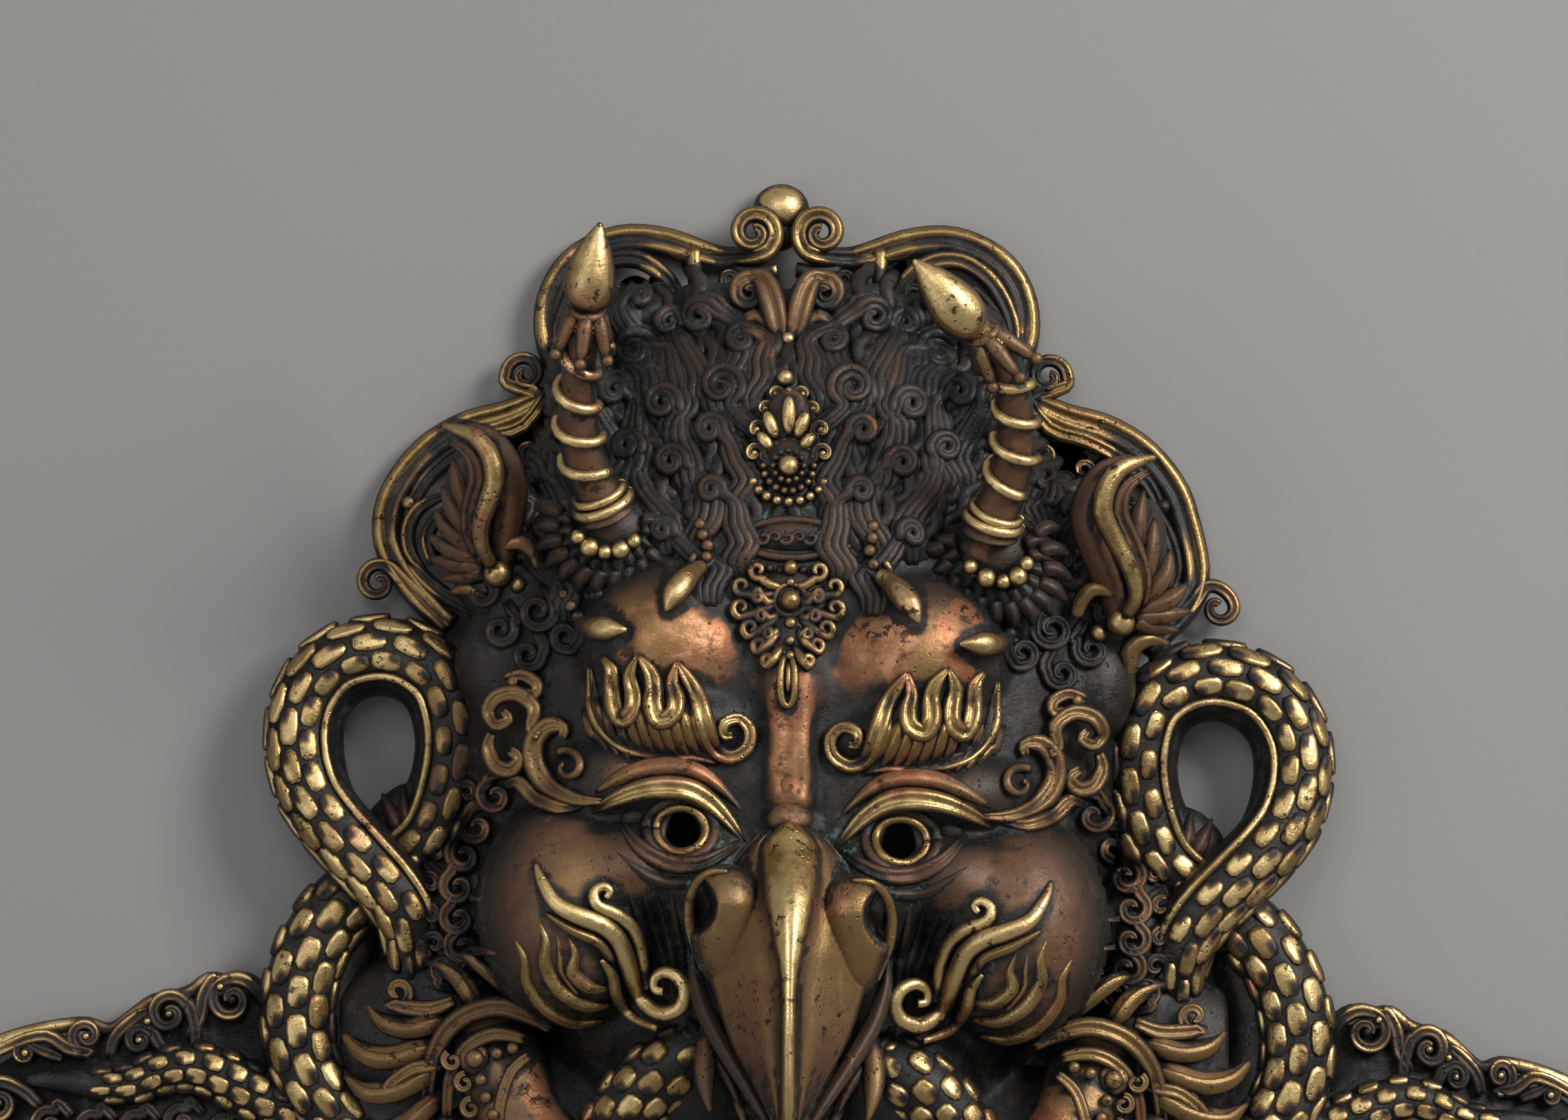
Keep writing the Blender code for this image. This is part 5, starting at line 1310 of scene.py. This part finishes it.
# Linear colours of the metal and what lies on it
PITCH_BLACK = (0.0125, 0.0115, 0.011, 1)
BROWN_PATINA = (0.050, 0.031, 0.020, 1)
WARM_BROWN = (0.132, 0.062, 0.034, 1)
OLD_BRASS = (0.36, 0.235, 0.09, 1)
BRIGHT_BRASS = (0.78, 0.57, 0.26, 1)
RED_COPPER = (0.42, 0.178, 0.09, 1)
PINK_COPPER = (0.72, 0.39, 0.225, 1)
VERDIGRIS = (0.10, 0.21, 0.17, 1)
# Grey of dust on the metal, also used as a painted sheen on the black patina
DUST_AND_SHEEN = (0.125, 0.128, 0.115, 1)


def worn_metal(name, shine):
    """Metal dark in hollows, brown on slopes and rubbed bright on heights, with painted shade from the
    wear_and_shade layer where parts are covered or face away from above; shine shifts it all.
    """
    finish = Finish(name)
    wear_and_shade, polish = finish.layer("wear_and_shade"), finish.layer("polish")
    cloud, grain, fine = finish.noise(28), finish.noise(190, 6, 0.62), finish.noise(900, 3, 0.6)
    streak = finish.noise(60, 5, 0.6, (1, 0.35, 1))
    # Brightness comes from the wear layer, which holds real wear and also painted shade on covered parts and
    # on faces turned from above.
    worn_and_shaded = polish * (0.22 + 0.98 * wear_and_shade.rise(0.36, 0.88))
    rubbed_and_shaded = worn_and_shaded + polish * (0.55 * (cloud - 0.5) + 0.5 * (grain - 0.5)) + shine
    colour = finish.mix(rubbed_and_shaded.rise(0.12, 0.38), PITCH_BLACK, BROWN_PATINA)
    colour = finish.mix(rubbed_and_shaded.rise(0.34, 0.58), colour, WARM_BROWN)
    brass = rubbed_and_shaded.rise(0.50, 0.80)
    bared = (finish.layer("copper") + 2.6 * (streak - 0.5)).rise(0.34, 0.50)
    mottle = finish.noise(85, 5, 0.66)
    reddish = bared * rubbed_and_shaded.rise(0.16, 0.50) * mottle.rise(0.40, 0.54, 0.25, 0.95)
    patch = finish.noise(42, 3, 0.5).rise(0.60, 0.70) * 0.75
    warm = finish.mix(patch, OLD_BRASS, RED_COPPER)
    bright = finish.mix(patch, BRIGHT_BRASS, PINK_COPPER)
    colour = finish.mix(brass, colour, warm)
    colour = finish.mix(rubbed_and_shaded.rise(0.82, 1.08), colour, bright)
    colour = finish.mix(reddish * 0.92, colour, RED_COPPER)
    colour = finish.mix(reddish * rubbed_and_shaded.rise(0.55, 0.9) * grain.rise(0.40, 0.60), colour, PINK_COPPER)
    spots = finish.noise(260, 5, 0.7)
    green = (finish.layer("verdigris") * 0.8 + 0.12) * spots.rise(0.54, 0.66) * wear_and_shade.rise(0.85, 0.30)
    colour = finish.mix(green, colour, VERDIGRIS)
    # Grey film on the dark metal where little is rubbed: real dust, and also a painted grey sheen on the
    # black patina.
    dust_and_sheen = finish.noise(75, 6, 0.68).rise(0.46, 0.66) * grain.rise(0.40, 0.62)
    colour = finish.mix(rubbed_and_shaded.rise(0.36, 0.12) * dust_and_sheen * 0.42, colour, DUST_AND_SHEEN)
    pocks = finish.pits(420).rise(0.24, 0.10) * finish.noise(55).rise(0.50, 0.60)
    specks = (finish.noise(230, 6, 0.7) + 0.06 * bared).rise(0.575, 0.61) * finish.noise(40, 4).rise(0.44,
                                                                                                     0.58)
    colour = finish.mix(pocks * 0.8, colour, PITCH_BLACK)
    colour = finish.mix(specks * 0.85, colour, PITCH_BLACK)
    rough = (0.50 - 0.12 * brass + 0.12 * finish.layer("copper") + 0.24 * (grain - 0.5) + 0.20 * green
             + 0.12 * (fine - 0.5))
    height = 0.7 * grain + 0.4 * fine + 0.6 * cloud - 0.9 * pocks
    bump = finish.node("ShaderNodeBump", {}, {"Strength": 0.5, "Distance": 0.0008, "Height": height})
    finish.set(Base_Color=colour, Roughness=rough, Metallic=0.22 + 0.70 * brass.most(reddish) - 0.4 * green,
               Normal=bump.outputs[0])
    return finish.material


def sweep_floor():
    """A plain pale floor."""
    shape = bmesh.new()
    bmesh.ops.create_grid(shape, x_segments=1, y_segments=1, size=4)
    mesh = bpy.data.meshes.new("floor")
    shape.to_mesh(mesh)
    shape.free()
    floor = bpy.data.objects.new("floor", mesh)
    link(floor)
    paper = Finish("studio_paper")
    speck = paper.noise(500, 4, 0.6)
    paper.set(Base_Color=paper.mix(speck, (0.305, 0.30, 0.292, 1), (0.33, 0.325, 0.317, 1)),
              Roughness=0.75 + 0.1 * speck)
    mesh.materials.append(paper.material)
    floor.location.z = -FLOOR_DROP


def softbox(name, at, size, power, tint=(1, 1, 1)):
    """A square lamp that faces the middle of the mask."""
    lamp = bpy.data.lights.new(name, "AREA")
    lamp.size = size
    lamp.energy = power
    lamp.color = tint
    made = bpy.data.objects.new(name, lamp)
    made.location = at
    made.rotation_euler = (Vector(LAMP_AIM) - Vector(at)).to_track_quat("-Z", "Y").to_euler()
    link(made)


def studio():
    """Soft light from the upper right, a weak fill, and the camera over the mask."""
    softbox("key", (1.25, 0.85, 1.2), 0.7, 27, (1.0, 0.98, 0.95))
    softbox("top", (-0.35, 0.9, 1.9), 1.0, 7)
    softbox("fill", (-1.3, -0.3, 1.3), 1.0, 3.5, (0.95, 0.97, 1.0))
    world = bpy.data.worlds.new("studio")
    bpy.context.scene.world = world
    world.use_nodes = True
    world.node_tree.nodes["Background"].inputs["Color"].default_value = (1, 1, 1, 1)
    world.node_tree.nodes["Background"].inputs["Strength"].default_value = 0.24
    lens = bpy.data.cameras.new("camera")
    lens.lens = 113
    lens.sensor_width = 36
    camera = bpy.data.objects.new("camera", lens)
    camera.location = (0, EYE_Y * UNIT, EYE_HEIGHT * UNIT)
    aim = Vector((-0.0005, 0.0788, 0.03))
    camera.rotation_euler = (aim - camera.location).to_track_quat("-Z", "Y").to_euler()
    link(camera)
    bpy.context.scene.camera = camera
    bpy.context.scene.view_settings.view_transform = "Standard"


def dress():
    """Makes every piece, weathers it and gives it its metal."""
    made = [ground_piece(), beak_piece(), face_carving(), hair(), hair_ground(), crown_border(), ears(),
            jewels(), horn_seats(),
            arms(), foot_scrolls()]
    for side, word in ((LEFT, "left"), (RIGHT, "right")):
        made += [serpent(side, word), side_panel(side, word), horn(side, word)]
    weather(made)
    bronze, gilt = worn_metal("worn_bronze", 0.0), worn_metal("gilt_horn", 0.06)
    for piece in made:
        piece.data.materials.clear()
        piece.data.materials.append(gilt if piece["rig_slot"] == "gilt_horn" else bronze)
    for shape in SECTIONS.values():
        bpy.data.objects.remove(shape)


dress()
sweep_floor()
studio()
